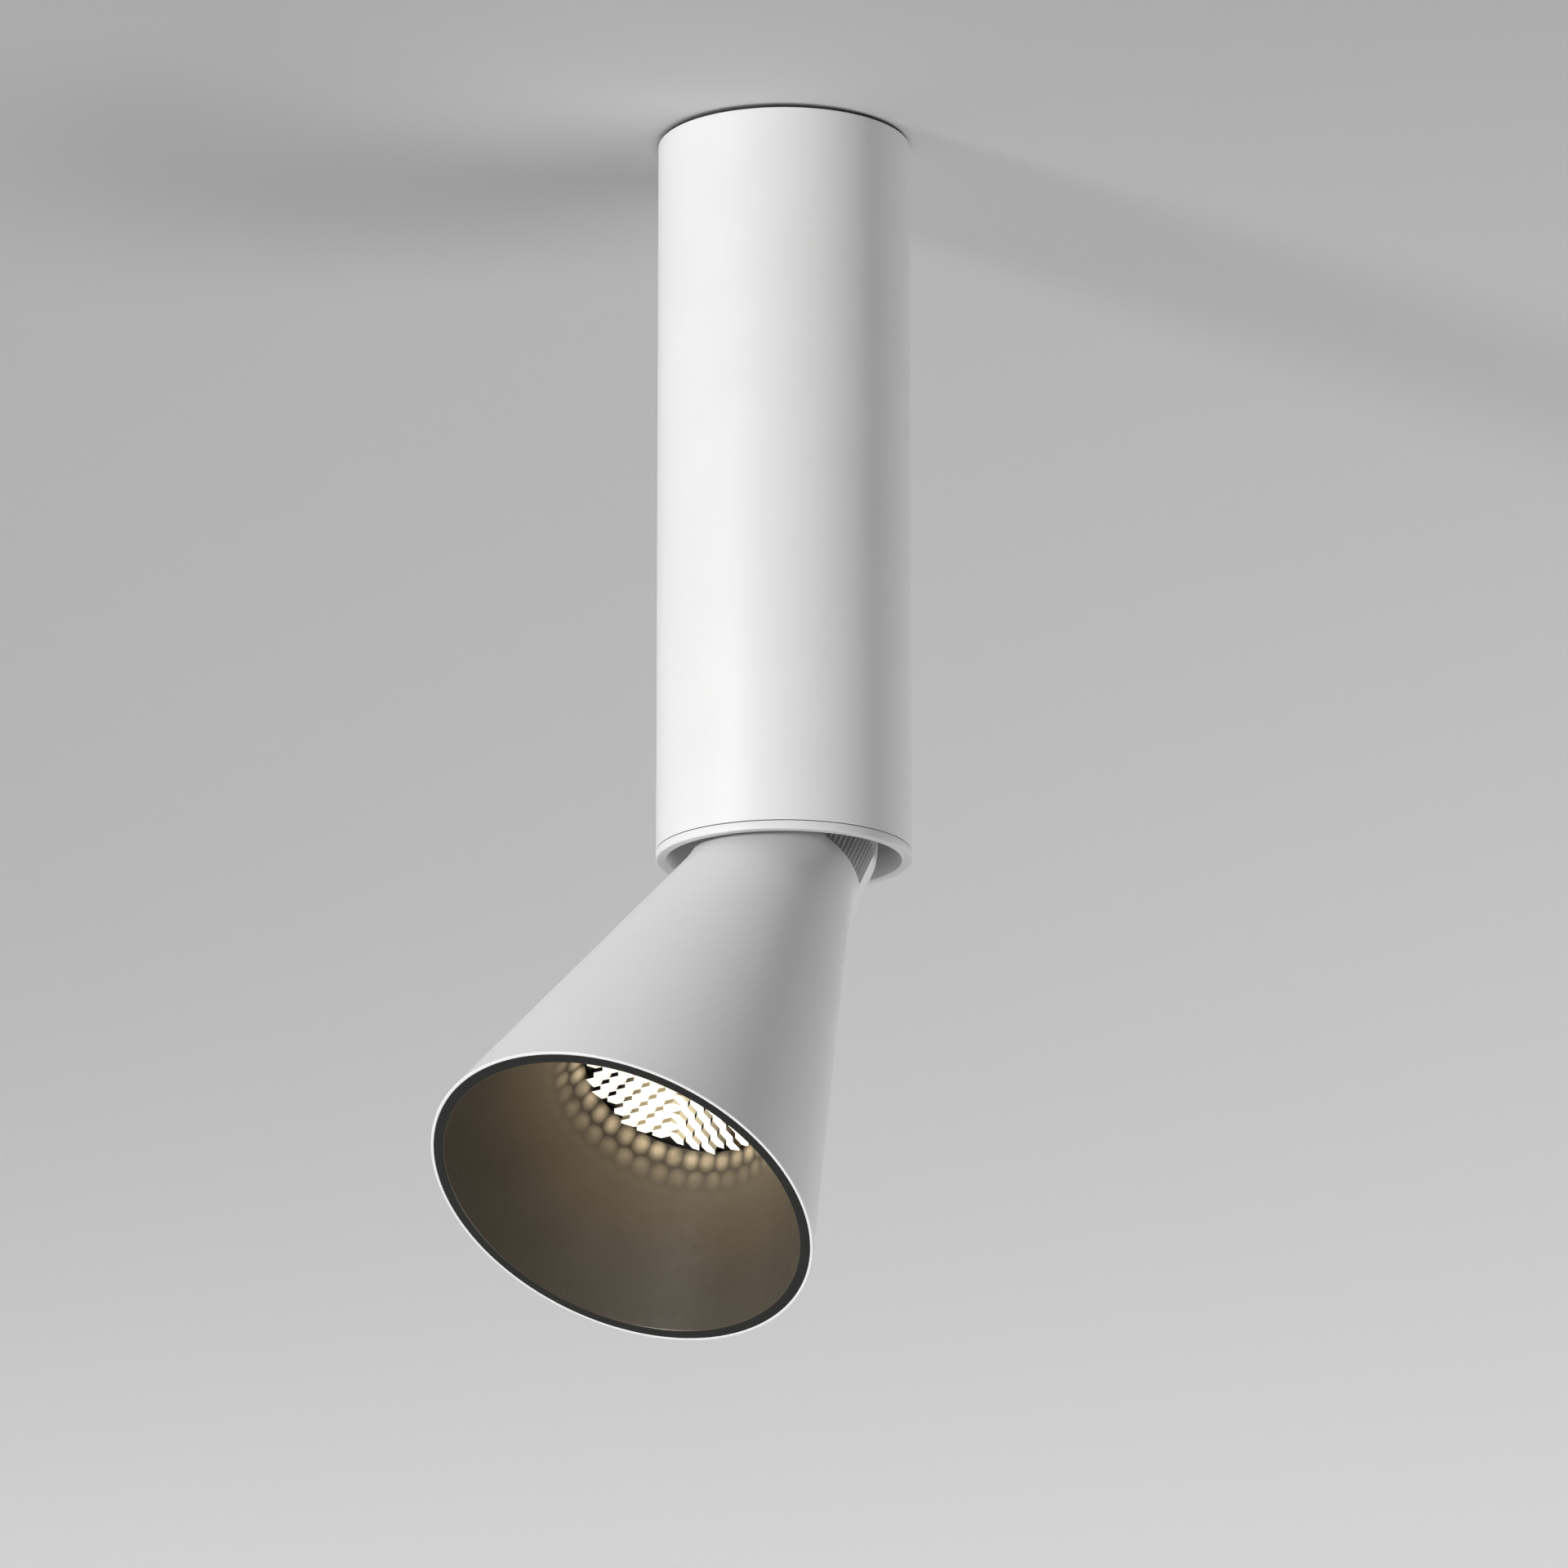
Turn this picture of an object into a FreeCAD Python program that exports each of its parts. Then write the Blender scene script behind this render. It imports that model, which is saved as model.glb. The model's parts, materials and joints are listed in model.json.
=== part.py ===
import FreeCAD, Part
import math
import os

os.makedirs("parts", exist_ok=True)
Vec = FreeCAD.Vector

# The row frame: Z up, origin on the tube's axis in the ceiling plane, the room below.
# The front is -Y. All sizes are millimetres.

# Shared fits
overrun = 2.0          # how far a cut runs past the surface it opens
slip = 0.05            # radial gap of a pin, shaft or spigot in its bore
play = 0.3             # gap between neighbours that only clear each other
seam = 0.06            # hairline between two painted pieces

# Housing tube, its gasket and its end ring
tube_r = 30.0
tube_wall = 1.5
tube_length = 173.96
tube_edge = 0.25
gasket_t = 0.6
gasket_inset = 0.35
ring_t = 2.08
ring_face_width = 2.4
ring_spigot = 8.0
ring_edge = 0.2

# Pivot of the head, measured down from the end ring's face
pivot_drop = 0.06
tilt_at_rest = 34.418
pan_at_rest = -35.782
tilt_limit = 36.0

# Neck cap: dome, ribbed sides and spigot
neck_share = 20 / 27.6         # of the ring's bore
neck_wall = 2.0
dome_flat_share = 0.385        # of the neck's radius
dome_rise_share = 0.375
neck_drop = 3.7
rib_pitch_deg = 3.7
rib_grooves_each_side = 6
rib_groove_r = 0.55
cap_spigot_step = 1.4
cap_spigot_wall = 1.6
cap_spigot_length = 10.3

# Head shell: collar, blend and cone
collar_stand = 0.25
cone_corner_drop = 12.115
cone_growth = 0.26
shell_wall = 1.5
head_drop = 111.7
blend_r = 39.0
collar_edge = 0.2
rim_face = 0.78
ledge_drop_share = 42.7 / 111.7    # of the head's length
ledge_t = 3.0
ledge_width = 4.5

# Anti-glare baffle
baffle_lip_width = 2.492
baffle_cover = 1.3
baffle_wall = 1.2
baffle_lip_t = 1.15
baffle_foot_t = 0.6
lip_edge = 0.3

# Lens: collecting body, flange disc and hexagonal cells
lens_inset = 2.6
lens_flange_t = 1.5
lens_height = 18.7
lens_over_emitter = 0.75
lens_foot_wall = 1.2
lens_shoulder_step = 1.1
lens_well_share = 0.32         # of the lens's height
cell_pitch = 3.85
cell_turn_deg = 35.7
cell_gap = 0.06
cell_height = 1.3
cell_step = 1.4
cell_inset = 2.2
cell_sink = 0.3
lattice_h = 1.47
lattice_m = 0.35
cell_lean_deg = 120
cell_edge_gap = 0.2

# Lens holder
holder_wall = 1.5
holder_foot_t = 2.0
holder_foot_width = 4.2
holder_seat_width = 0.8

# Heat sink
sink_boss_gap = 0.1
sink_top_drop = 11.5
sink_shoulder_gap = 0.2
sink_base_t = 4.0
sink_base_gap = 0.445
sink_core_past_lead = 0.7
fin_t = 2.0
fin_count = 5
fin_clear = 0.6

# Light board and what stands on it
pad_t = 0.3
pad_r = 14.4
board_r = 14.8
board_t = 1.6
emitter_r = 8.0
emitter_t = 1.2
emitter_glow_r = 6.0
emitter_glow_t = 0.4
plug_length = 5.6
plug_width = 5.2
plug_t = 1.9

# Hinge: yoke, pin, nut and washers
pin_r = 2.0
pin_head_r = 3.5
pin_head_t = 2.2
cheek_side_room = 0.7
cheek_share = 0.15             # of the neck's radius
cheek_eye_wall = 4.0
yoke_foot_t = 2.5
yoke_foot_share = 0.562        # of the boss's radius
yoke_screw_inset = 3.3
hinge_washer_r = 4.8
hinge_washer_t = 0.62
hinge_spring_t = 0.5
hinge_nut_r = 3.9
hinge_nut_t = 3.2
pin_past_nut = 0.5

# Swivel stem and the pieces threaded on it
stem_share = 0.25              # of the neck's radius
stem_bore_r = 2.0
stem_flange_r = 9.0
stem_flange_t = 2.0
swing_gap = 0.5
tongue_share = 0.35            # of the neck's radius
tongue_top = 7.5
stem_window_half = 1.9
stem_window_low = 7.9
stem_window_high = 17.5
glide_inset = 0.2
glide_t = 0.5
stop_washer_rim = 2.4
stop_washer_t = 1.0
stop_tab_half = 0.72
stop_tab_room = 0.4
stop_tab_past_pin = 1.0
stop_pin_r = 0.8
stop_pin_height = 1.3
wave_washer_stand = 0.2
wave_washer_t = 0.8
swivel_nut_wall = 3.0
swivel_nut_t = 4.0
stem_past_nut = 1.0

# Bulkhead
bulkhead_t = 3.0
bulkhead_gap = 0.2

# Ceiling bracket
bracket_gap = 0.5
bracket_t = 2.0
slot_width = 4.6
slot_length = 10.0
slot_inset = 10.0
lug_t = 2.5
lug_height = 12.0
lug_half_deg = 13.0
lug_place_deg = 35.0
set_screw_r = 2.0
set_screw_length = 5.8
set_screw_drop = 9.0
set_screw_socket_r = 1.15
set_screw_socket_depth = 2.0

# Cable grommet
grommet_room = 2.0
grommet_flange_rim = 1.4
grommet_flange_t = 1.2
grommet_wall = 3.0

# Chassis strip
strip_share = 2 / 3            # of the tube's bore
strip_t = 1.5
strip_inset = 4.0
strip_foot_share = 0.4         # of the strip's distance from the axis
foot_screw_inset_x = 6.0
foot_screw_inset_y = 3.0

# Screws
m2_r = 1.0
m2_head_r = 1.9
m2_head_t = 1.3
m3_r = 1.5
m3_head_r = 2.75
m3_head_t = 1.8
m3_socket_r = 1.25
m3_socket_depth = 1.0
shell_screw_inset = 2.4
shell_screw_length = 6.0
shell_screw_head_r = 2.2
small_socket_depth = 0.5
holder_screw_inset = 2.2
holder_screw_length = 4.5
board_screw_place = 11.4
board_screw_length = 4.2
yoke_screw_length = 6.5
head_screw_count = 3
shell_screw_start_deg = 30.0
holder_screw_start_deg = 90.0

# Terminal block
block_inset = 2.5
block_front_wall = 6.0
block_below_lugs = 2.0
block_height = 14.0
pole_inset = 4.5
pole_from_board = 3.0
clamp_r = 2.15
clamp_bore_r = 1.3
clamp_length = 11.0
clamp_screw_r = 1.1
clamp_screw_to_wire = 0.15
clamp_screw_sink = 1.0
clamp_groove_depth = 0.3
clamp_groove_half = 0.2
clamp_screw_spacing = 5.5
chimney_r = 1.5

# Earth tag and its screw
tag_r = 3.1
tag_t = 0.8
tag_arm_half = 1.3
earth_inset = 2.0
earth_below_block = 6.0

# Driver case with lid
case_gap = 1.63
case_over_parts = 1.4
wiring_room = 12.0
case_over_stem = 12.3
case_wall = 1.6
case_corner = 2.0
lid_t = 1.6
case_screw_from_end = 8.0
case_screw_length = 4.4

# Driver board and its parts
boss_height = 7.8
boss_r = 2.4
boss_hole_r = 0.9
board_half_shy = 0.6
driver_board_t = 1.6
boss_inset = 4.0
# Shares of the driver's room, which is half the case's width or a like share of its height
driver_height_share = 0.221
transformer_half_share = 0.47
transformer_length_share = 0.9
core_half_share = 0.32
capacitor_r_share = 0.26
small_capacitor_r_share = 0.17
coil_r_share = 0.34
coil_bore_share = 0.16
part_place_share = 0.53        # of half the case's width
transformer_height = 13.0
core_rise = 1.0
capacitor_length = 14.0
coil_length = 7.0
driver_gap_count = 5
connector_half = 5.0
connector_height = 7.0
input_connector_rim = 3.0
input_connector_rise = 6.0
input_connector_drop = 4.0
output_connector_rim = 0.9

# Leads
wire_r = 1.0
lead_r = 1.5
lead_from_pin = 0.9
lead_turn_high = 13.5
lead_turn_low = 5.5
lead_bend_high = 9.0
lead_bend_low = 8.0
lead_end_gap = 0.8
lead_meeting_height = 34.0
lead_parting = 0.2
wire_grip = 4.0
earth_bend = 4.0

# Radii of tube, ring, neck and head, worked out from the sizes above
tube_bore_r = tube_r - tube_wall
ring_bore_r = tube_r - ring_face_width
neck_r = ring_bore_r * neck_share
dome_flat_r = neck_r * dome_flat_share
dome_rise = neck_r * dome_rise_share
cap_spigot_r = neck_r - cap_spigot_step
cap_bore_r = cap_spigot_r - cap_spigot_wall
collar_r = neck_r + collar_stand
cone_r_at_pivot = collar_r - cone_growth * cone_corner_drop

# Hinge and swivel pieces inside the neck
stem_r = neck_r * stem_share
tongue_t = neck_r * tongue_share
cheek_gap = tongue_t + 2 * cheek_side_room
cheek_t = neck_r * cheek_share
cheek_eye_r = pin_r + cheek_eye_wall
cheek_outer = cheek_gap / 2 + cheek_t
sink_boss_r = cap_bore_r - sink_boss_gap
yoke_foot_half = sink_boss_r * yoke_foot_share
yoke_screw_place = yoke_foot_half - yoke_screw_inset
lead_side = cheek_outer + pin_head_t + lead_from_pin + lead_r
glide_r = stem_flange_r - glide_inset
swivel_nut_r = stem_r + swivel_nut_wall

# Chassis, bracket and what they carry, from the tube's bore
strip_place = tube_bore_r * strip_share
strip_foot = strip_place * strip_foot_share
case_half = math.sqrt((tube_bore_r - case_gap) ** 2 - strip_place ** 2)
strip_half = case_half - strip_inset
foot_screw_place_x = strip_half - foot_screw_inset_x
foot_screw_place_y = strip_place - foot_screw_inset_y
stop_tab_reach = strip_place - strip_foot - stop_tab_room
stop_pin_place = stop_tab_reach - stop_tab_past_pin
stop_washer_r = stem_r + stop_washer_rim
wave_washer_r = stop_washer_r + wave_washer_stand
bracket_r = tube_bore_r - bracket_gap
slot_spacing = 2 * (bracket_r - slot_inset)
grommet_flange_r = strip_place - strip_foot - grommet_room
grommet_hole_r = grommet_flange_r - grommet_flange_rim
grommet_bore_r = grommet_hole_r - grommet_wall
block_half = strip_half - block_inset
pole_spacing = block_half - pole_inset
earth_x = strip_half - earth_inset

# Levels along the tube's axis, worked out from the sizes above
z_tube_top = -gasket_t
z_tube_end = z_tube_top - tube_length
z_ring_top = z_tube_end - seam
z_ring_face = z_ring_top - ring_t
z_pivot = z_ring_face - pivot_drop
dome_fillet = neck_r - dome_flat_r
neck_reach = math.hypot(dome_flat_r, dome_rise) + dome_fillet
flange_low = neck_reach + swing_gap
flange_high = flange_low + stem_flange_t
glide_low_top = flange_high + glide_t
bulkhead_low = glide_low_top + slip
bulkhead_high = bulkhead_low + bulkhead_t
glide_high_low = bulkhead_high + slip
stop_low = glide_high_low + glide_t
wave_low = stop_low + stop_washer_t
nut_low = wave_low + wave_washer_t
nut_high = nut_low + swivel_nut_t
stem_top = nut_high + stem_past_nut
z_bulkhead_top = z_pivot + bulkhead_high
z_bracket_low = -bracket_t
strip_front = strip_place
strip_back = strip_place + strip_t
block_top = z_bracket_low - lug_height - block_below_lugs
case_top = block_top - block_height - wiring_room
case_height = case_top - z_pivot - stem_top - case_over_stem
board_face_y = strip_front - case_wall - boss_height - driver_board_t
case_front = board_face_y - transformer_height - core_rise - case_over_parts - lid_t
pole_y = board_face_y - pole_from_board
block_front = pole_y - block_front_wall

# The driver's parts, spaced evenly down its board
driver_room = min(case_half, case_height * driver_height_share)
transformer_half = driver_room * transformer_half_share
transformer_length = driver_room * transformer_length_share
core_half = driver_room * core_half_share
capacitor_r = driver_room * capacitor_r_share
small_capacitor_r = driver_room * small_capacitor_r_share
coil_r = driver_room * coil_r_share
coil_bore_r = driver_room * coil_bore_share
part_place = case_half * part_place_share
driver_parts_height = 2 * (connector_height + coil_r + core_rise + small_capacitor_r) + transformer_length
driver_slack = case_height - 2 * case_wall - input_connector_drop - driver_parts_height
driver_gap = driver_slack / driver_gap_count
input_connector_half = pole_spacing / 2 + input_connector_rim
coil_drop = case_wall + input_connector_drop + connector_height + driver_gap + coil_r
transformer_drop = coil_drop + coil_r + driver_gap + core_rise
small_capacitor_drop = transformer_drop + transformer_length + core_rise + driver_gap + small_capacitor_r
output_connector_drop = small_capacitor_drop + small_capacitor_r + driver_gap + connector_height


def box(x0, x1, y0, y1, z0, z1):
    return Part.makeBox(x1 - x0, y1 - y0, z1 - z0, Vec(x0, y0, z0))


def rod(radius, z0, z1, x=0, y=0):
    return Part.makeCylinder(radius, z1 - z0, Vec(x, y, z0), Vec(0, 0, 1))


def bar(radius, start, end):
    way = end - start
    return Part.makeCylinder(radius, way.Length, start, way)


def tube(outer, inner, z0, z1, x=0, y=0):
    return rod(outer, z0, z1, x, y).cut(rod(inner, z0 - overrun, z1 + overrun, x, y))


def turned(points):
    outline = [Vec(r, 0, z) for r, z in points]
    wire = Part.makePolygon(outline + [outline[0]])
    return Part.Face(wire).revolve(Vec(0, 0, 0), Vec(0, 0, 1), 360)


def hexagon_bar(radius, z0, z1, x=0, y=0):
    turns = [math.radians(60 * i) for i in range(7)]
    corners = [Vec(x + radius * math.cos(turn), y + radius * math.sin(turn), z0) for turn in turns]
    return Part.Face(Part.makePolygon(corners)).extrude(Vec(0, 0, z1 - z0))


def along_hinge(shape):
    # A piece drawn about Z is laid along the hinge's axis, which is X before the pan turn.
    turned_shape = shape.copy()
    turned_shape.rotate(Vec(0, 0, 0), Vec(0, 1, 0), 90)
    return turned_shape


def on_pan(shape):
    placed = shape.copy()
    placed.rotate(Vec(0, 0, 0), Vec(0, 0, 1), pan_at_rest)
    placed.translate(Vec(0, 0, z_pivot))
    return placed


def on_head(shape):
    placed = shape.copy()
    placed.rotate(Vec(0, 0, 0), Vec(1, 0, 0), -tilt_at_rest)
    return on_pan(placed)


def save(name, shape):
    shape.exportStep("parts/" + name + ".step")


def save_group(name, shapes):
    save(name, Part.makeCompound(shapes))


def around(count, start_deg, radius):
    places = []
    for i in range(count):
        angle = math.radians(start_deg + 360 / count * i)
        places.append((radius * math.cos(angle), radius * math.sin(angle)))
    return places


def screw(shank_r, head_r, head_t, socket_r, socket_depth, length, x, y, z_seat):
    # A screw driven downwards: its head stands on z_seat.
    body = rod(head_r, z_seat, z_seat + head_t, x, y).fuse(rod(shank_r, z_seat - length, z_seat, x, y))
    socket = hexagon_bar(socket_r, z_seat + head_t - socket_depth, z_seat + head_t + overrun, x, y)
    return body.cut(socket)


def m3_screw(length, x, y, z_seat):
    return screw(m3_r, m3_head_r, m3_head_t, m3_socket_r, m3_socket_depth, length, x, y, z_seat)


def flipped(shape, z_about):
    turned_over = shape.copy()
    turned_over.rotate(Vec(0, 0, z_about), Vec(1, 0, 0), 180)
    return turned_over


def shell_outer_r(s):
    return cone_r_at_pivot + cone_growth * s


def shell_inner_r(s):
    return shell_outer_r(s) - shell_wall * math.hypot(1, cone_growth)


# Depths and radii in the head, worked out from the sizes above
sink_shoulder_drop = neck_drop + cap_spigot_length + sink_shoulder_gap
ledge_drop = head_drop * ledge_drop_share
sink_base_drop = ledge_drop + ledge_t + slip
sink_face_drop = sink_base_drop + sink_base_t
fin_pitch = (sink_base_drop - sink_shoulder_drop) / (fin_count + 1)
pad_face_drop = sink_face_drop + pad_t
board_face_drop = pad_face_drop + board_t
sink_base_r = shell_inner_r(sink_base_drop) - sink_base_gap
sink_core_r = lead_side + sink_core_past_lead
ledge_bore_r = sink_base_r - ledge_width
shell_screw_place = sink_base_r - shell_screw_inset
lens_flange_r = sink_base_r - lens_inset
lens_foot_drop = board_face_drop + emitter_t + emitter_glow_t + lens_over_emitter
lens_face_drop = lens_foot_drop + lens_height
lens_shoulder_r = lens_flange_r - lens_shoulder_step
lens_well_r = emitter_r + play
lens_foot_r = lens_well_r + lens_foot_wall
lens_well_depth = lens_height * lens_well_share
cell_reach = lens_flange_r - cell_inset
holder_bore_r = lens_flange_r + slip
holder_outer_r = holder_bore_r + holder_wall
holder_seat_r = lens_flange_r - holder_seat_width
holder_foot_bore_r = lens_flange_r - holder_foot_width
holder_screw_place = lens_flange_r - holder_screw_inset
holder_face_drop = lens_face_drop + slip
baffle_end_drop = holder_face_drop + slip + baffle_foot_t
baffle_end_r = lens_flange_r - baffle_cover
cell_trim_r = baffle_end_r - cell_edge_gap
baffle_mouth_r = shell_outer_r(head_drop) - rim_face - baffle_lip_width
baffle_growth = (baffle_mouth_r - baffle_end_r) / (head_drop - baffle_end_drop)


def lead_path(points, radii):
    # Straight runs joined by tangent arcs.
    edges = []
    last = points[0]
    for i in range(1, len(points) - 1):
        before = (points[i - 1] - points[i]).normalize()
        after = (points[i + 1] - points[i]).normalize()
        half_turn = (math.pi - before.getAngle(after)) / 2
        reach = radii[i - 1] * math.tan(half_turn)
        start = points[i] + before * reach
        end = points[i] + after * reach
        middle_way = (before + after).normalize()
        middle = points[i] + middle_way * (radii[i - 1] / math.cos(half_turn) - radii[i - 1])
        edges.append(Part.LineSegment(last, start).toShape())
        edges.append(Part.Arc(start, middle, end).toShape())
        last = end
    edges.append(Part.LineSegment(last, points[-1]).toShape())
    return Part.Wire(edges)


def lead_along(points, radii, radius):
    path = lead_path(points, radii)
    first = (points[1] - points[0]).normalize()
    ring = Part.Wire([Part.Circle(points[0], first, radius).toShape()])
    return path.makePipeShell([ring], True, False)


# Housing

def lug_sides():
    return [lug_place_deg, 180 - lug_place_deg]


def set_screw_bar(radius, side_deg, start_r, end_r):
    # A bar that lies along a set screw's axis, between two distances from the tube's axis.
    way = Vec(math.cos(math.radians(side_deg)), math.sin(math.radians(side_deg)), 0)
    drop = Vec(0, 0, -set_screw_drop)
    return bar(radius, way * start_r + drop, way * end_r + drop)


def make_housing_tube():
    body = tube(tube_r, tube_bore_r, z_tube_end, z_tube_top)
    for side in lug_sides():
        body = body.cut(set_screw_bar(set_screw_r + slip, side, tube_bore_r - overrun, tube_r + overrun))
    rims = [e for e in body.Edges if is_ring(e, tube_r, z_tube_end)]
    body = body.makeFillet(tube_edge, rims)
    save("housing_tube", body)


def is_ring(edge, radius, z):
    if not isinstance(edge.Curve, Part.Circle):
        return False
    return abs(edge.Curve.Radius - radius) < slip and abs(edge.Curve.Center.z - z) < slip


def make_gasket():
    save("ceiling_gasket", tube(tube_r - gasket_inset, tube_bore_r + gasket_inset, z_tube_top, 0))


def make_end_ring():
    spigot_r = tube_bore_r - slip
    body = turned([
        (ring_bore_r, z_ring_face), (tube_r, z_ring_face), (tube_r, z_ring_top), (spigot_r, z_ring_top),
        (spigot_r, z_ring_top + ring_spigot), (ring_bore_r, z_ring_top + ring_spigot)])
    rims = [e for e in body.Edges if is_ring(e, tube_r, z_ring_face) or is_ring(e, tube_r, z_ring_top)
            or is_ring(e, ring_bore_r, z_ring_face)]
    save("end_ring", body.makeFillet(ring_edge, rims))


def lug(place_deg):
    outer = tube_bore_r - play
    inner = outer - lug_t
    floor = z_bracket_low - lug_height
    block = tube(outer, inner, floor, z_bracket_low)
    reach = outer + overrun
    corners = [Vec(0, 0, floor)]
    for side in (place_deg - lug_half_deg, place_deg + lug_half_deg):
        corners.append(Vec(reach * math.cos(math.radians(side)), reach * math.sin(math.radians(side)), floor))
    wedge = Part.Face(Part.makePolygon(corners + [corners[0]])).extrude(Vec(0, 0, lug_height))
    return block.common(wedge)


def slot(x):
    half = slot_width / 2
    run = (slot_length - slot_width) / 2
    low = z_bracket_low - overrun
    high = overrun
    cut = box(x - run, x + run, -half, half, low, high)
    return cut.fuse([rod(half, low, high, x - run), rod(half, low, high, x + run)])


def foot_screw_places():
    return [(-foot_screw_place_x, foot_screw_place_y), (foot_screw_place_x, foot_screw_place_y)]


def make_bracket():
    body = rod(bracket_r, z_bracket_low, 0)
    for place in lug_sides():
        body = body.fuse(lug(place))
    body = body.cut(rod(grommet_hole_r, z_bracket_low - overrun, overrun))
    for x in (-slot_spacing / 2, slot_spacing / 2):
        body = body.cut(slot(x))
    for x, y in foot_screw_places():
        body = body.cut(rod(m3_r, z_bracket_low - overrun, overrun, x, y))
    for side in lug_sides():
        hole = set_screw_bar(set_screw_r, side, tube_bore_r - lug_t - overrun, tube_bore_r + overrun)
        body = body.cut(hole)
    save("ceiling_bracket", body.removeSplitter())


def make_set_screws():
    screws = []
    for side in lug_sides():
        body = set_screw_bar(set_screw_r, side, tube_r - set_screw_length, tube_r - seam)
        socket = set_screw_bar(set_screw_socket_r, side, tube_r - set_screw_socket_depth, tube_r + overrun)
        screws.append(body.cut(socket))
    save_group("set_screws", screws)


def make_grommet():
    low = z_bracket_low - grommet_flange_t
    body = turned([
        (grommet_bore_r, low), (grommet_flange_r, low), (grommet_flange_r, z_bracket_low),
        (grommet_hole_r, z_bracket_low), (grommet_hole_r, 0), (grommet_bore_r, 0)])
    save("cable_grommet", body)


# Chassis

def make_chassis_strip():
    top = z_bracket_low
    low = z_bulkhead_top
    foot_front = strip_front - strip_foot
    body = box(-strip_half, strip_half, strip_front, strip_back, low, top)
    body = body.fuse([
        box(-strip_half, strip_half, foot_front, strip_back, top - strip_t, top),
        box(-strip_half, strip_half, foot_front, strip_back, low, low + strip_t)])
    for x, y in foot_screw_places():
        body = body.cut(rod(m3_r + slip, low - overrun, top + overrun, x, y))
    for x, y in case_screw_places():
        start = Vec(x, strip_front - overrun, y)
        body = body.cut(bar(m2_r, start, Vec(x, strip_back + overrun, y)))
    earth = Vec(earth_x, strip_front - overrun, earth_level())
    body = body.cut(bar(m2_r, earth, Vec(earth_x, strip_back + overrun, earth_level())))
    save("chassis_strip", body.removeSplitter())


def make_chassis_screws():
    screws = []
    top_seat = z_bracket_low - strip_t
    low_seat = z_bulkhead_top + strip_t
    for x, y in foot_screw_places():
        up = m3_screw(strip_t + bracket_t - seam, x, -y, top_seat)
        screws.append(flipped(up, top_seat))
        screws.append(m3_screw(strip_t + bulkhead_t - play, x, y, low_seat))
    save_group("chassis_screws", screws)


def make_bulkhead():
    low = z_pivot + bulkhead_low
    body = rod(tube_bore_r - bulkhead_gap, low, z_bulkhead_top)
    body = body.cut(rod(stem_r + slip, low - overrun, z_bulkhead_top + overrun))
    x, y = stop_pin_xy()
    body = body.cut(rod(stop_pin_r, low - overrun, z_bulkhead_top + overrun, x, y))
    for x, y in foot_screw_places():
        body = body.cut(rod(m3_r, low - overrun, z_bulkhead_top + overrun, x, y))
    save("bulkhead", body)


def stop_pin_xy():
    angle = math.radians(pan_at_rest)
    return stop_pin_place * math.cos(angle), stop_pin_place * math.sin(angle)


def make_stop_pin():
    x, y = stop_pin_xy()
    save("pan_stop_pin", rod(stop_pin_r, z_pivot + bulkhead_low, z_bulkhead_top + stop_pin_height, x, y))


# Swivel

def make_swivel_stem():
    body = rod(stem_r, tongue_top, stem_top)
    body = body.fuse(rod(stem_flange_r, flange_low, flange_high))
    tongue = box(-tongue_t / 2, tongue_t / 2, -stem_r, stem_r, 0, tongue_top)
    eye = along_hinge(rod(stem_r, -tongue_t / 2, tongue_t / 2))
    body = body.fuse([tongue, eye]).removeSplitter()
    body = body.cut(along_hinge(rod(pin_r + slip, -tongue_t, tongue_t)))
    body = body.cut(rod(stem_bore_r, stem_window_low, stem_top + overrun))
    window = box(0, stem_r + overrun, -stem_window_half, stem_window_half, stem_window_low, stem_window_high)
    body = body.cut(window)
    save("swivel_stem", on_pan(body))


def make_glide_washers():
    lower = tube(glide_r, stem_r + slip, flange_high, glide_low_top)
    upper = tube(stop_washer_r, stem_r + slip, glide_high_low, stop_low)
    save_group("glide_washers", [on_pan(lower), on_pan(upper)])


def make_stop_washer():
    disc = rod(stop_washer_r, stop_low, wave_low)
    tab = box(-stop_tab_reach, 0, -stop_tab_half, stop_tab_half, stop_low, wave_low)
    hole = rod(stem_r + slip, stop_low - overrun, wave_low + overrun)
    save("stop_washer", on_pan(disc.fuse(tab).cut(hole)))


def make_wave_washer():
    save("wave_washer", on_pan(tube(wave_washer_r, stem_r + slip, wave_low, nut_low)))


def make_swivel_nut():
    body = hexagon_bar(swivel_nut_r, nut_low, nut_high)
    save("swivel_nut", on_pan(body.cut(rod(stem_r, nut_low - overrun, nut_high + overrun))))


def make_stem_lead():
    points = [
        Vec(0, 0, lead_meeting_height - lead_parting), Vec(0, 0, lead_turn_high),
        Vec(lead_side, 0, lead_turn_low), Vec(lead_side, 0, lead_end_gap)]
    save("stem_lead", on_pan(lead_along(points, [lead_bend_high, lead_bend_low], lead_r)))


# Head. Drawn pointing straight down about Z with the hinge along X and the pivot at the origin.

def dome_solid(inset, z_low):
    side = neck_r - inset
    corner = Vec(dome_flat_r, 0, dome_rise + dome_fillet - inset)
    shoulder = Vec(side, 0, dome_rise)
    radius = dome_fillet - inset
    slant = math.sqrt(2) / 2
    middle = Vec(dome_flat_r + radius * slant, 0, dome_rise + radius * slant)
    edges = [
        Part.LineSegment(Vec(0, 0, z_low), Vec(0, 0, corner.z)).toShape(),
        Part.LineSegment(Vec(0, 0, corner.z), corner).toShape(),
        Part.Arc(corner, middle, shoulder).toShape(),
        Part.LineSegment(shoulder, Vec(side, 0, z_low)).toShape(),
        Part.LineSegment(Vec(side, 0, z_low), Vec(0, 0, z_low)).toShape()]
    return Part.Face(Part.Wire(edges)).revolve(Vec(0, 0, 0), Vec(0, 0, 1), 360)


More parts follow.
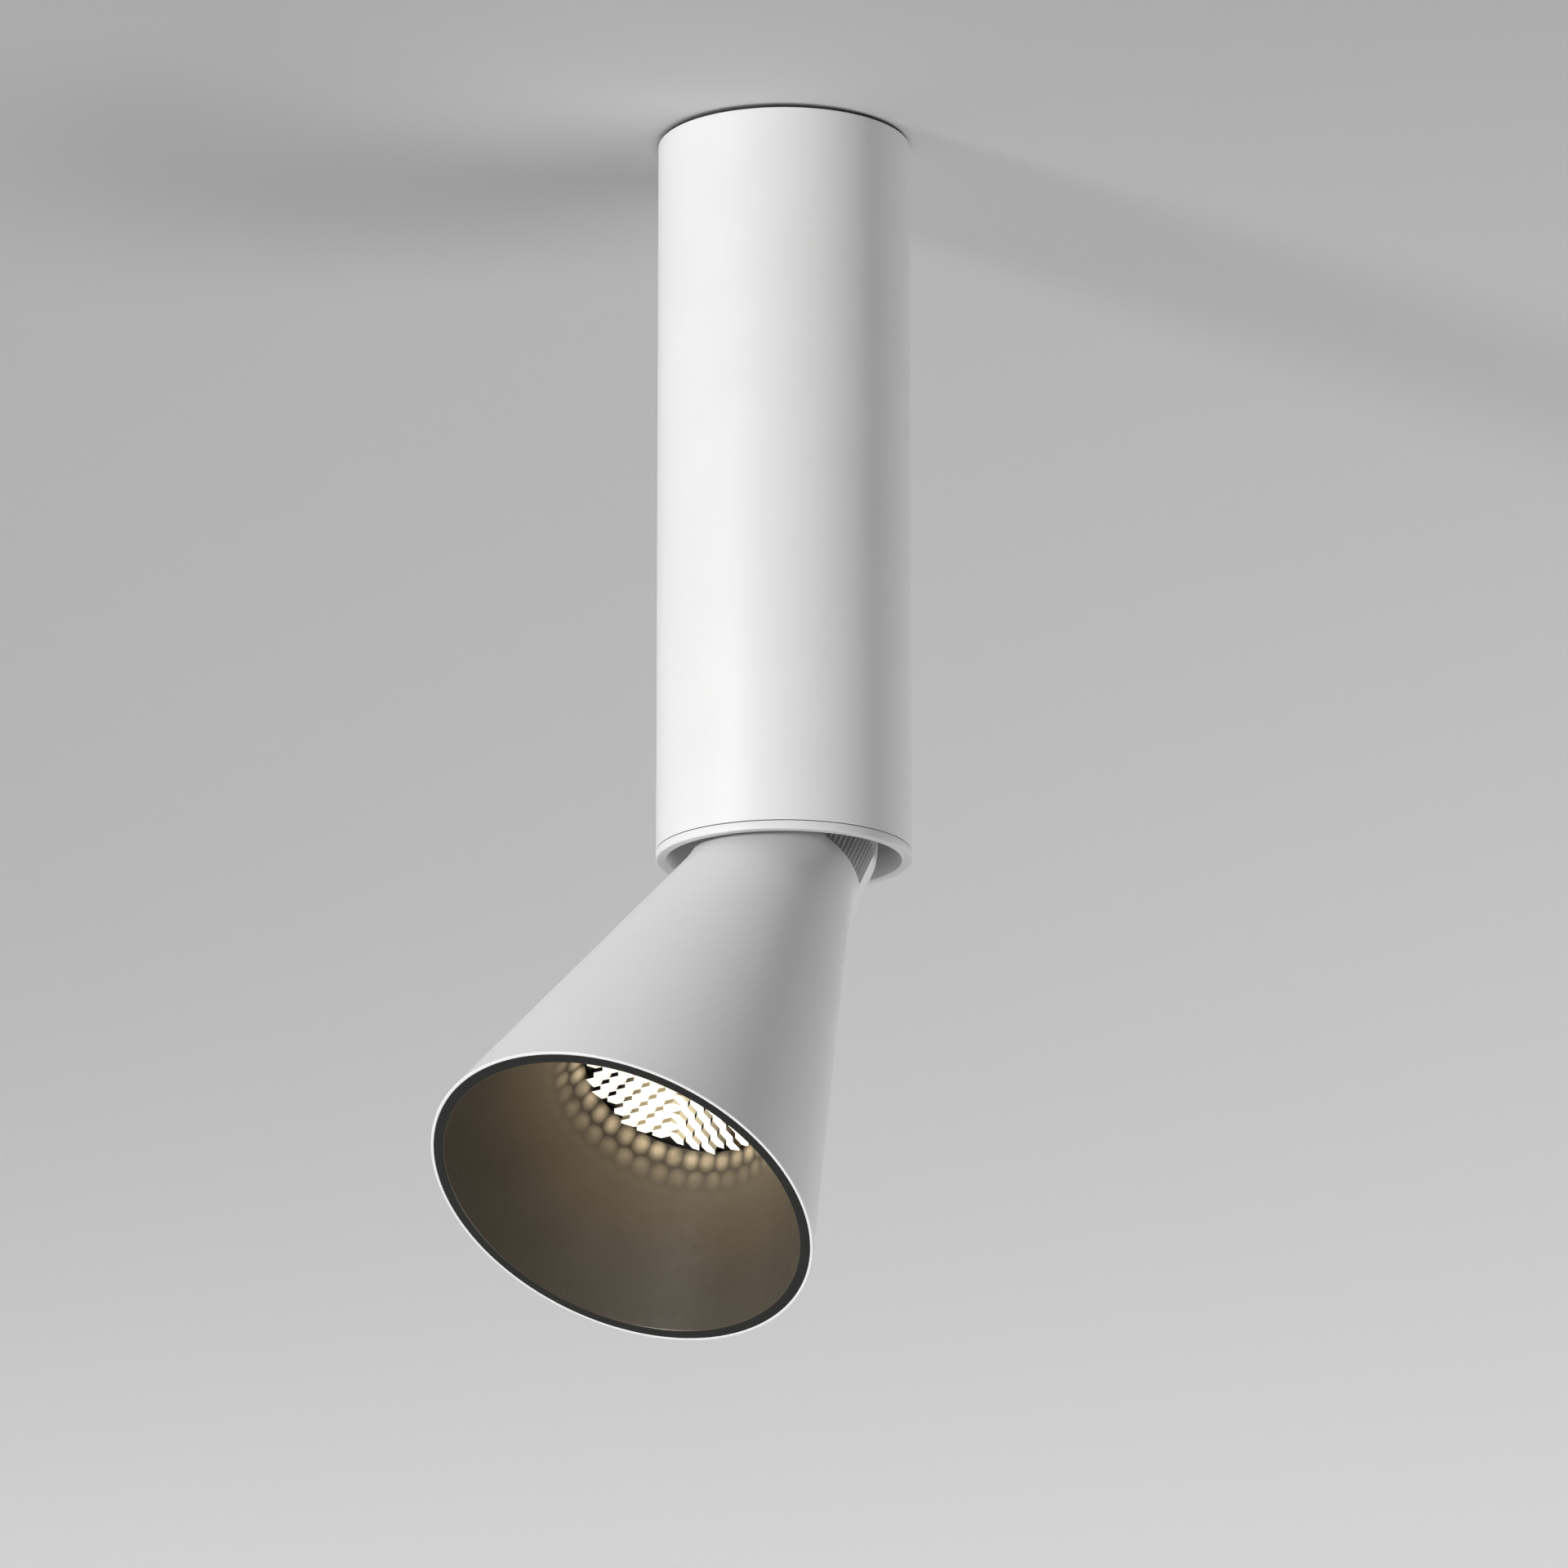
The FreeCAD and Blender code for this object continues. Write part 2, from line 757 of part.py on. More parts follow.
def swing_slot():
    # The wedge that the stem sweeps through the dome between straight down and the tilt limit.
    width = stem_r + 2 * play
    reach = neck_reach + stem_r + overrun
    lean = math.radians(tilt_limit)
    corners = [
        Vec(-width, width, 0), Vec(-width, width, reach),
        Vec(-width, -reach * math.sin(lean) - width * math.cos(lean),
            reach * math.cos(lean) - width * math.sin(lean)),
        Vec(-width, -width * math.cos(lean), -width * math.sin(lean))]
    return Part.Face(Part.makePolygon(corners + [corners[0]])).extrude(Vec(2 * width, 0, 0))


def make_neck_cap():
    body = dome_solid(0, -neck_drop)
    grooves = []
    high = dome_rise + dome_fillet + overrun
    for side in (0, 180):
        for i in range(-rib_grooves_each_side, rib_grooves_each_side + 1):
            angle = math.radians(side + i * rib_pitch_deg)
            grooves.append(rod(rib_groove_r, -neck_drop - overrun, high, neck_r * math.cos(angle),
                               neck_r * math.sin(angle)))
    body = body.cut(grooves)
    body = body.fuse(rod(cap_spigot_r, -neck_drop - cap_spigot_length, -neck_drop))
    body = body.cut(dome_solid(neck_wall, -neck_drop))
    bore = rod(cap_bore_r, -neck_drop - cap_spigot_length - overrun, -neck_drop + slip)
    body = body.cut(bore)
    body = body.cut(swing_slot())
    save("neck_cap", on_head(body))


def shell_blend():
    # Where the collar's straight side, the blend and the cone meet, as (radius, depth) pairs.
    slope = math.atan(cone_growth)
    reach = blend_r * math.tan(slope / 2)
    corner_depth = (collar_r - cone_r_at_pivot) / cone_growth
    start = (collar_r, corner_depth - reach)
    end = (collar_r + reach * math.sin(slope), corner_depth + reach * math.cos(slope))
    half = slope / 2
    middle = (collar_r + blend_r * (1 - math.cos(half)), corner_depth - reach + blend_r * math.sin(half))
    return start, middle, end


def make_head_shell():
    start, middle, end = shell_blend()
    rim_r = shell_outer_r(head_drop)
    top = neck_drop + seam
    bore_r = cap_spigot_r + slip
    bore_end = neck_drop + cap_spigot_length + play
    lip_drop = head_drop - baffle_lip_t - slip
    brow = Vec(collar_r - collar_edge, 0, -top)
    cheek = Vec(collar_r, 0, -top - collar_edge)
    blend = [Vec(r, 0, -drop) for r, drop in (start, middle, end)]
    outline = [
        Part.LineSegment(Vec(bore_r, 0, -top), brow).toShape(),
        Part.LineSegment(brow, cheek).toShape(),
        Part.LineSegment(cheek, blend[0]).toShape(),
        Part.Arc(blend[0], blend[1], blend[2]).toShape(),
        Part.LineSegment(blend[2], Vec(rim_r, 0, -head_drop)).toShape()]
    inner = [
        (rim_r, head_drop), (rim_r - rim_face, head_drop),
        (shell_outer_r(lip_drop) - rim_face, lip_drop), (shell_inner_r(lip_drop), lip_drop),
        (shell_inner_r(ledge_drop + ledge_t), ledge_drop + ledge_t), (ledge_bore_r, ledge_drop + ledge_t),
        (ledge_bore_r, ledge_drop), (shell_inner_r(ledge_drop), ledge_drop),
        (shell_inner_r(bore_end), bore_end), (bore_r, bore_end), (bore_r, top)]
    for (r0, s0), (r1, s1) in zip(inner, inner[1:]):
        outline.append(Part.LineSegment(Vec(r0, 0, -s0), Vec(r1, 0, -s1)).toShape())
    body = Part.Face(Part.Wire(outline)).revolve(Vec(0, 0, 0), Vec(0, 0, 1), 360)
    for x, y in shell_screw_places():
        body = body.cut(rod(m2_r, -ledge_drop - ledge_t - overrun, -ledge_drop + overrun, x, y))
    save("head_shell", on_head(body))


def shell_screw_places():
    return around(head_screw_count, shell_screw_start_deg, shell_screw_place)


def holder_screw_places():
    return around(head_screw_count, holder_screw_start_deg, holder_screw_place)


def board_screw_places():
    return [(0, -board_screw_place), (0, board_screw_place)]


def yoke_screw_places():
    return [(0, -yoke_screw_place), (0, yoke_screw_place)]


def countersink(x, y, drop):
    # The cone under the head of a flush screw whose face lies at this depth.
    depth = shell_screw_head_r - m2_r
    return Part.makeCone(shell_screw_head_r, m2_r, depth, Vec(x, y, -drop), Vec(0, 0, 1))


def make_heat_sink():
    body = rod(sink_boss_r, -sink_shoulder_drop, -sink_top_drop)
    body = body.fuse(rod(sink_core_r, -sink_base_drop, -sink_shoulder_drop))
    body = body.fuse(rod(sink_base_r, -sink_face_drop, -sink_base_drop))
    fins = []
    for i in range(fin_count):
        drop = sink_shoulder_drop + play + fin_pitch * i
        radius = min(ledge_bore_r - play, shell_inner_r(drop) - fin_clear)
        fins.append(rod(radius, -drop - fin_t, -drop))
    body = body.fuse(fins)
    body = body.fuse(rod(sink_boss_r, -sink_shoulder_drop - play, -sink_shoulder_drop)).removeSplitter()
    body = body.cut(rod(lead_r + slip, -sink_face_drop - overrun, -sink_top_drop + overrun, lead_side))
    for x, y in yoke_screw_places():
        body = body.cut(rod(m3_r, -sink_top_drop - yoke_screw_length, -sink_top_drop + overrun, x, y))
    for x, y in shell_screw_places():
        body = body.cut(rod(m2_r + slip, -sink_face_drop - overrun, -sink_base_drop + overrun, x, y))
        body = body.cut(countersink(x, y, sink_face_drop))
    for x, y in holder_screw_places():
        depth = holder_screw_length - holder_foot_t
        body = body.cut(rod(m2_r, -sink_face_drop - overrun, -sink_face_drop + depth, x, y))
    for x, y in board_screw_places():
        depth = board_screw_length - board_t - pad_t
        body = body.cut(rod(m3_r, -sink_face_drop - overrun, -sink_face_drop + depth, x, y))
    save("heat_sink", on_head(body))


def make_shell_screws():
    screws = []
    for x, y in shell_screw_places():
        body = rod(m2_r, -sink_face_drop, -sink_face_drop + shell_screw_length, x, y)
        body = body.fuse(countersink(x, y, sink_face_drop))
        socket = hexagon_bar(m2_r, -sink_face_drop - overrun, -sink_face_drop + small_socket_depth, x, y)
        screws.append(on_head(body.cut(socket)))
    save_group("shell_screws", screws)


def make_thermal_pad():
    body = rod(pad_r, -pad_face_drop, -sink_face_drop)
    body = body.cut(rod(lead_r + play, -pad_face_drop - overrun, -sink_face_drop + overrun, lead_side))
    for x, y in board_screw_places():
        body = body.cut(rod(m3_r + slip, -pad_face_drop - overrun, -sink_face_drop + overrun, x, y))
    save("thermal_pad", on_head(body))


def make_light_board():
    body = rod(board_r, -board_face_drop, -pad_face_drop)
    body = body.cut(rod(lead_r + slip, -board_face_drop - overrun, -pad_face_drop + overrun, lead_side))
    for x, y in board_screw_places():
        body = body.cut(rod(m3_r + slip, -board_face_drop - overrun, -pad_face_drop + overrun, x, y))
    save("light_board", on_head(body))


def make_board_screws():
    screws = []
    for x, y in board_screw_places():
        up = m3_screw(board_screw_length, x, -y, -board_face_drop)
        screws.append(on_head(flipped(up, -board_face_drop)))
    save_group("board_screws", screws)


def make_emitter():
    body = rod(emitter_r, -board_face_drop - emitter_t, -board_face_drop)
    body = body.fuse(rod(emitter_glow_r, -board_face_drop - emitter_t - emitter_glow_t, -board_face_drop))
    save("light_emitter", on_head(body.removeSplitter()))


def make_board_connector():
    start = emitter_r + play
    body = box(start, start + plug_length, -plug_width / 2, plug_width / 2, -board_face_drop - plug_t,
               -board_face_drop)
    hole = rod(lead_r + slip, -board_face_drop - plug_t + play, -board_face_drop + overrun, lead_side)
    save("board_connector", on_head(body.cut(hole)))


def make_head_lead():
    save("head_lead", on_head(rod(lead_r, -board_face_drop - plug_t + 2 * play, -lead_end_gap, lead_side)))


def make_lens_holder():
    foot_low = sink_face_drop + holder_foot_t
    flange_back = lens_face_drop - lens_flange_t
    body = turned([
        (holder_foot_bore_r, -sink_face_drop), (holder_outer_r, -sink_face_drop),
        (holder_outer_r, -holder_face_drop), (holder_bore_r, -holder_face_drop),
        (holder_bore_r, -flange_back), (holder_seat_r, -flange_back),
        (holder_seat_r, -flange_back + holder_wall), (holder_bore_r, -flange_back + holder_wall),
        (holder_bore_r, -foot_low), (holder_foot_bore_r, -foot_low)])
    for x, y in holder_screw_places():
        body = body.cut(rod(m2_r + slip, -foot_low - overrun, -sink_face_drop + overrun, x, y))
    save("lens_holder", on_head(body))


def make_holder_screws():
    screws = []
    seat = -sink_face_drop - holder_foot_t
    for x, y in holder_screw_places():
        up = screw(m2_r, m2_head_r, m2_head_t, m2_r, small_socket_depth, holder_screw_length, x, -y, seat)
        screws.append(on_head(flipped(up, seat)))
    save_group("holder_screws", screws)


def lens_body():
    # The collecting body widens on a curve from its foot to the shoulder under the flange.
    rise = lens_face_drop - lens_flange_t - lens_foot_drop
    foot = Vec(lens_foot_r, 0, -lens_foot_drop)
    shoulder = Vec(lens_shoulder_r, 0, -lens_foot_drop - rise)
    middle_share = 0.5
    bulge_share = 0.09
    middle = foot * (1 - middle_share) + shoulder * middle_share
    bulge = Vec(rise, 0, shoulder.x - foot.x) * bulge_share
    middle = middle + bulge
    well_top = lens_foot_drop + lens_well_depth
    face = lens_face_drop
    edges = [Part.Arc(foot, middle, shoulder).toShape()]
    points = [
        (lens_shoulder_r, face - lens_flange_t), (lens_flange_r, face - lens_flange_t), (lens_flange_r, face),
        (0, face), (0, well_top), (lens_well_r, well_top), (lens_well_r, lens_foot_drop),
        (lens_foot_r, lens_foot_drop)]
    for (r0, s0), (r1, s1) in zip(points, points[1:]):
        edges.append(Part.LineSegment(Vec(r0, 0, -s0), Vec(r1, 0, -s1)).toShape())
    return Part.Face(Part.Wire(Part.__sortEdges__(edges))).revolve(Vec(0, 0, 0), Vec(0, 0, 1), 360)


def cell_places():
    # A triangular lattice turned to the photographed direction, without slivers at its edge.
    turn = math.radians(cell_turn_deg)
    count = int(2 * cell_reach / cell_pitch) + 2
    places = []
    for i in range(-count, count + 1):
        for j in range(-count, count + 1):
            u = cell_pitch * (i + j / 2)
            v = cell_pitch * j * math.sqrt(3) / 2
            h = lattice_h + u * math.cos(turn) - v * math.sin(turn)
            m = lattice_m + u * math.sin(turn) + v * math.cos(turn)
            if math.hypot(h, m) <= cell_reach:
                places.append((h, m))
    return places


def cell_lean(h, m):
    # The way a cell's top rises: the two halves of the lens mirror each other.
    divide_deg = cell_turn_deg + 90
    past = (math.degrees(math.atan2(m, h)) - divide_deg) % 360 < 180
    return math.radians(divide_deg + (cell_lean_deg if past else -cell_lean_deg))


def cell(h, m):
    # One hexagonal prism with a leaning top, cut back to the lens's clear circle.
    corner_r = (cell_pitch - cell_gap) / math.sqrt(3)
    lean = cell_lean(h, m)
    slope = cell_step / (cell_pitch * math.cos(math.radians(30)))
    low = []
    high = []
    for k in range(6):
        angle = math.radians(cell_turn_deg + 30 + 60 * k)
        x = corner_r * math.cos(angle)
        y = corner_r * math.sin(angle)
        rise = cell_height + slope * (x * math.cos(lean) + y * math.sin(lean))
        low.append(Vec(h + x, m + y, -lens_face_drop + cell_sink))
        high.append(Vec(h + x, m + y, -lens_face_drop - rise))
    faces = [Part.Face(Part.makePolygon(low + [low[0]])), Part.Face(Part.makePolygon(high + [high[0]]))]
    for k in range(6):
        n = (k + 1) % 6
        faces.append(Part.Face(Part.makePolygon([low[k], low[n], high[n], high[k], low[k]])))
    solid = Part.makeSolid(Part.makeShell(faces))
    if solid.Volume < 0:
        solid.reverse()
    if math.hypot(h, m) + corner_r > cell_trim_r:
        clear = rod(cell_trim_r, -lens_face_drop - cell_height - cell_step, -lens_face_drop + cell_sink)
        solid = solid.common(clear)
    return solid


def make_lens():
    body = lens_body().fuse([cell(h, m) for h, m in cell_places()])
    save("lens", on_head(body))


def make_baffle():
    mouth = head_drop
    end_r = baffle_end_r
    skin = baffle_wall * math.hypot(1, baffle_growth)
    lip_r = shell_outer_r(mouth) - rim_face - slip
    lip_back = mouth - baffle_lip_t
    lip_back_r = shell_outer_r(lip_back) - rim_face - slip
    foot_low = holder_face_drop + slip
    foot_r = holder_outer_r
    cone_back_r = end_r + skin + baffle_growth * (lip_back - baffle_end_drop)
    body = turned([
        (baffle_mouth_r + lip_edge, -mouth), (lip_r, -mouth), (lip_back_r, -lip_back),
        (cone_back_r, -lip_back),
        (foot_r, -baffle_end_drop - (foot_r - end_r - skin) / baffle_growth),
        (foot_r, -foot_low), (end_r, -foot_low), (end_r, -baffle_end_drop),
        (baffle_mouth_r - baffle_growth * lip_edge, -mouth + lip_edge)])
    save("anti_glare_baffle", on_head(body))


# Hinge

def make_yoke():
    half_gap = cheek_gap / 2
    outer = cheek_outer
    foot_top = sink_top_drop - yoke_foot_t
    body = box(-outer, outer, -yoke_foot_half, yoke_foot_half, -sink_top_drop, -foot_top)
    for low, high in ((-outer, -half_gap), (half_gap, outer)):
        body = body.fuse(along_hinge(rod(cheek_eye_r, low, high)))
        body = body.fuse(box(low, high, -cheek_eye_r, cheek_eye_r, -foot_top, 0))
    body = body.removeSplitter()
    body = body.cut(along_hinge(rod(pin_r + slip, -outer - overrun, outer + overrun)))
    for x, y in yoke_screw_places():
        body = body.cut(rod(m3_r + slip, -sink_top_drop - overrun, -foot_top + overrun, x, y))
    save("hinge_yoke", on_head(body))


def make_yoke_screws():
    seat = -sink_top_drop + yoke_foot_t
    screws = [on_head(m3_screw(yoke_screw_length, x, y, seat)) for x, y in yoke_screw_places()]
    save_group("yoke_screws", screws)


def make_hinge_pin():
    outer = cheek_outer
    end = -outer - hinge_spring_t - hinge_nut_t - pin_past_nut
    body = rod(pin_r, end, outer).fuse(rod(pin_head_r, outer, outer + pin_head_t))
    head_end = outer + pin_head_t
    body = body.cut(hexagon_bar(m3_socket_r, head_end - m3_socket_depth, head_end + overrun))
    save("hinge_pin", on_head(along_hinge(body)))


def make_hinge_nut():
    outer = cheek_outer + hinge_spring_t
    body = hexagon_bar(hinge_nut_r, -outer - hinge_nut_t, -outer)
    body = body.cut(rod(pin_r, -outer - hinge_nut_t - overrun, -outer + overrun))
    save("hinge_nut", on_head(along_hinge(body)))


def make_hinge_washers():
    half_gap = cheek_gap / 2
    left = tube(hinge_washer_r, pin_r + slip, -half_gap, -half_gap + hinge_washer_t)
    right = tube(hinge_washer_r, pin_r + slip, half_gap - hinge_washer_t, half_gap)
    save_group("hinge_washers", [on_head(along_hinge(left)), on_head(along_hinge(right))])


def make_hinge_spring():
    outer = cheek_outer
    body = tube(hinge_washer_r, pin_r + slip, -outer - hinge_spring_t, -outer)
    save("hinge_spring_washer", on_head(along_hinge(body)))


# Electrical parts in the tube

def pole_places():
    return [-pole_spacing, 0, pole_spacing]


def clamp_screw_levels():
    centre = block_top - block_height / 2
    return [centre - clamp_screw_spacing / 2, centre + clamp_screw_spacing / 2]


def make_terminal_block():
    low = block_top - block_height
    body = box(-block_half, block_half, block_front, strip_front, low, block_top)
    for x in pole_places():
        body = body.cut(rod(clamp_r + slip, low - overrun, block_top + overrun, x, pole_y))
        for z in clamp_screw_levels():
            body = body.cut(bar(chimney_r, Vec(x, block_front - overrun, z), Vec(x, pole_y, z)))
    save("terminal_block", body)


def make_terminal_clamps():
    centre = block_top - block_height / 2
    low = centre - clamp_length / 2
    high = centre + clamp_length / 2
    clamps = []
    for x in pole_places():
        body = tube(clamp_r, clamp_bore_r, low, high, x, pole_y)
        for z in clamp_screw_levels():
            body = body.cut(bar(clamp_screw_r, Vec(x, block_front, z), Vec(x, pole_y, z)))
        clamps.append(body)
    save_group("terminal_clamps", clamps)


def make_terminal_screws():
    screws = []
    for x in pole_places():
        for z in clamp_screw_levels():
            head = block_front + clamp_screw_sink
            body = bar(clamp_screw_r, Vec(x, head, z), Vec(x, pole_y - wire_r - clamp_screw_to_wire, z))
            groove = box(x - clamp_screw_r - overrun, x + clamp_screw_r + overrun, head - overrun,
                         head + clamp_groove_depth, z - clamp_groove_half, z + clamp_groove_half)
            screws.append(body.cut(groove))
    save_group("terminal_screws", screws)


def earth_level():
    return block_top - block_height - earth_below_block


def make_earth_tag():
    z = earth_level()
    back = strip_front
    front = strip_front - tag_t
    disc = bar(tag_r, Vec(earth_x, front, z), Vec(earth_x, back, z))
    arm = box(pole_spacing - tag_arm_half, earth_x, front, back, z - tag_arm_half, z + tag_arm_half)
    hole = bar(m2_r + slip, Vec(earth_x, front - overrun, z), Vec(earth_x, back + overrun, z))
    save("earth_tag", disc.fuse(arm).cut(hole))


def make_earth_screw():
    z = earth_level()
    seat = strip_front - tag_t
    head = bar(m2_head_r, Vec(earth_x, seat - m2_head_t, z), Vec(earth_x, seat, z))
    shank = bar(m2_r, Vec(earth_x, seat, z), Vec(earth_x, strip_back, z))
    groove = box(earth_x - m2_head_r - overrun, earth_x + m2_head_r + overrun, seat - m2_head_t - overrun,
                 seat - m2_head_t / 2, z - play / 2, z + play / 2)
    save("earth_screw", head.fuse(shank).cut(groove))


def make_supply_leads():
    top = block_top - block_height + wire_grip
    low = case_top - case_wall - input_connector_drop - wire_grip
    save("live_lead", rod(wire_r, low, top, -pole_spacing, pole_y))
    save("neutral_lead", rod(wire_r, low, top, 0, pole_y))
    z = earth_level()
    points = [Vec(pole_spacing, pole_y, top), Vec(pole_spacing, pole_y, z),
              Vec(pole_spacing, strip_front - tag_t - slip, z)]
    save("earth_lead", lead_along(points, [earth_bend], wire_r))


def case_screw_places():
    high = case_top - case_screw_from_end
    low = case_top - case_height + case_screw_from_end
    return [(0, high), (0, low)]


def make_driver_case():
    low = case_top - case_height
    body = box(-case_half, case_half, case_front, strip_front, low, case_top)
    upright = [e for e in body.Edges if e.Length > case_height - slip]
    body = body.makeFillet(case_corner, upright)
    inner_half = case_half - case_wall
    floor = strip_front - case_wall
    body = body.cut(box(-inner_half, inner_half, case_front - overrun, floor, low + case_wall,
                        case_top - case_wall))
    for x, z in driver_boss_places():
        boss = bar(boss_r, Vec(x, floor - boss_height, z), Vec(x, floor, z))
        body = body.fuse(boss)
        body = body.cut(bar(boss_hole_r, Vec(x, floor - boss_height - overrun, z), Vec(x, floor, z)))
    for x, z in case_screw_places():
        body = body.cut(bar(m2_r + slip, Vec(x, floor - overrun, z), Vec(x, strip_front + overrun, z)))
    for x in (-pole_spacing, 0):
        body = body.cut(rod(wire_r + slip, case_top - case_wall - overrun, case_top + overrun, x, pole_y))
    body = body.cut(rod(lead_r + slip, low - overrun, low + case_wall + overrun))
    save("driver_case", body.removeSplitter())


def driver_boss_places():
    x = case_half - case_wall - boss_inset
    high = case_top - case_wall - boss_inset
    low = case_top - case_height + case_wall + boss_inset
    return [(-x, high), (x, high), (-x, low), (x, low)]


def make_driver_lid():
    inner_half = case_half - case_wall - slip
    low = case_top - case_height + case_wall + slip
    high = case_top - case_wall - slip
    save("driver_lid", box(-inner_half, inner_half, case_front, case_front + lid_t, low, high))


def make_driver_board():
    half = case_half - case_wall - board_half_shy
    low = case_top - case_height + case_wall + board_half_shy
    high = case_top - case_wall - board_half_shy
    face = board_face_y
    back = face + driver_board_t
    body = box(-half, half, face, back, low, high)
    for x, z in driver_boss_places():
        body = body.cut(bar(boss_hole_r, Vec(x, face - overrun, z), Vec(x, back + overrun, z)))
    save("driver_board", body)


def make_transformer():
    face = board_face_y
    top = case_top - transformer_drop
    low = top - transformer_length
    coil = box(-transformer_half, transformer_half, face - transformer_height, face, low, top)
    core = box(-core_half, core_half, face - transformer_height - core_rise, face, low - core_rise,
               top + core_rise)
    save("driver_transformer", coil.fuse(core).removeSplitter())


def make_capacitors():
    face = board_face_y
    level = case_top - coil_drop
    large = bar(capacitor_r, Vec(part_place, face, level), Vec(part_place, face - capacitor_length, level))
    smalls = []
    for x in (-part_place, part_place):
        z = case_top - small_capacitor_drop
        smalls.append(bar(small_capacitor_r, Vec(x, face, z), Vec(x, face - coil_length, z)))
    save_group("driver_capacitors", [large] + smalls)


def make_coil():
    face = board_face_y
    x = -part_place
    z = case_top - coil_drop
    body = bar(coil_r, Vec(x, face - coil_length, z), Vec(x, face, z))
    body = body.cut(bar(coil_bore_r, Vec(x, face - coil_length - overrun, z), Vec(x, face + overrun, z)))
    save("driver_coil", body)


def make_input_connector():
    face = board_face_y
    top = case_top - case_wall - input_connector_drop
    low = top - connector_height
    left = -pole_spacing / 2 - input_connector_half
    right = left + 2 * input_connector_half
    body = box(left, right, face - input_connector_rise, face, low, top)
    for x in (-pole_spacing, 0):
        body = body.cut(rod(wire_r + slip, low + play, top + overrun, x, pole_y))
    save("input_connector", body)


def make_output_connector():
    face = board_face_y
    top = case_top - output_connector_drop + connector_height
    low = case_top - output_connector_drop
    body = box(-connector_half, connector_half, -lead_r - output_connector_rim, face, low, top)
    hole = rod(lead_r + slip, low - overrun, top - play)
    save("output_connector", body.cut(hole))


def make_driver_lead():
    top = case_top - output_connector_drop + connector_height - 2 * play
    save("driver_lead", rod(lead_r, z_pivot + lead_meeting_height + lead_parting, top))


def make_driver_screws():
    screws = []
    floor = strip_front - case_wall
    for x, z in case_screw_places():
        head = bar(m2_head_r, Vec(x, floor - m2_head_t, z), Vec(x, floor, z))
        shank = bar(m2_r, Vec(x, floor, z), Vec(x, floor + case_screw_length - m2_head_t, z))
        screws.append(head.fuse(shank))
    save_group("driver_screws", screws)


make_housing_tube()
make_gasket()
make_end_ring()
make_bracket()
make_set_screws()
make_grommet()
make_chassis_strip()
make_chassis_screws()
make_bulkhead()
make_stop_pin()
make_swivel_stem()
make_glide_washers()
make_stop_washer()
make_wave_washer()
make_swivel_nut()
make_stem_lead()
make_neck_cap()
make_head_shell()
make_heat_sink()
make_shell_screws()
make_thermal_pad()
make_light_board()
make_board_screws()
make_emitter()
make_board_connector()
make_head_lead()
make_lens_holder()
make_holder_screws()
make_lens()
make_baffle()
make_yoke()
make_yoke_screws()
make_hinge_pin()
make_hinge_nut()
make_hinge_washers()
make_hinge_spring()
make_terminal_block()
make_terminal_clamps()
make_terminal_screws()
make_earth_tag()
make_earth_screw()
make_supply_leads()
make_driver_case()
make_driver_lid()
make_driver_board()
make_transformer()
make_capacitors()
make_coil()
make_input_connector()
make_output_connector()
make_driver_lead()
make_driver_screws()
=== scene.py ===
import json
import math

import bmesh
import bpy
from mathutils import Matrix, Vector


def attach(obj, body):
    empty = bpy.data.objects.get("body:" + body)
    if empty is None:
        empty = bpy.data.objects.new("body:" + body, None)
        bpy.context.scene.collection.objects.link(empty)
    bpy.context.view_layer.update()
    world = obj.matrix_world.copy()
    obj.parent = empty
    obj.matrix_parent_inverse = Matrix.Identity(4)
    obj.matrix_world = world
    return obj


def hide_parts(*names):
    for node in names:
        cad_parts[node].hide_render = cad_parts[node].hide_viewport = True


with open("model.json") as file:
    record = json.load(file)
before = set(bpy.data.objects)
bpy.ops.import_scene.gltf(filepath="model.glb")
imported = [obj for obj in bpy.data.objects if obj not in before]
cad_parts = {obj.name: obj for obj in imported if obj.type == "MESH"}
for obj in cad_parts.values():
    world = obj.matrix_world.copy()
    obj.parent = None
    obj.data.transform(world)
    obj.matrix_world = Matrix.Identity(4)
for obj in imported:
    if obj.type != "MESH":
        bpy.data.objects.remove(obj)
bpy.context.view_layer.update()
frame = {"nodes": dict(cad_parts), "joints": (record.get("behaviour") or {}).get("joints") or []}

MM = 0.001
MICRON = 0.000001


# ---------- Shader maths ----------

NOISE_LOW = 0.3
NOISE_HIGH = 0.7


class Value:
    """One output of a node tree, which adds Math nodes when it is used in an expression."""

    def __init__(self, owner, socket):
        self.owner = owner
        self.socket = socket

    def maths(self, operation, *others):
        sockets = dict(enumerate((self,) + others))
        return self.owner.node("ShaderNodeMath", {"operation": operation}, sockets)

    def __add__(self, other):
        return self.maths("ADD", other)

    def __sub__(self, other):
        return self.maths("SUBTRACT", other)

    def __mul__(self, other):
        return self.maths("MULTIPLY", other)

    def __truediv__(self, other):
        return self.maths("DIVIDE", other)

    def __pow__(self, other):
        return self.maths("POWER", other)

    def above(self, other):
        return self.maths("GREATER_THAN", other)


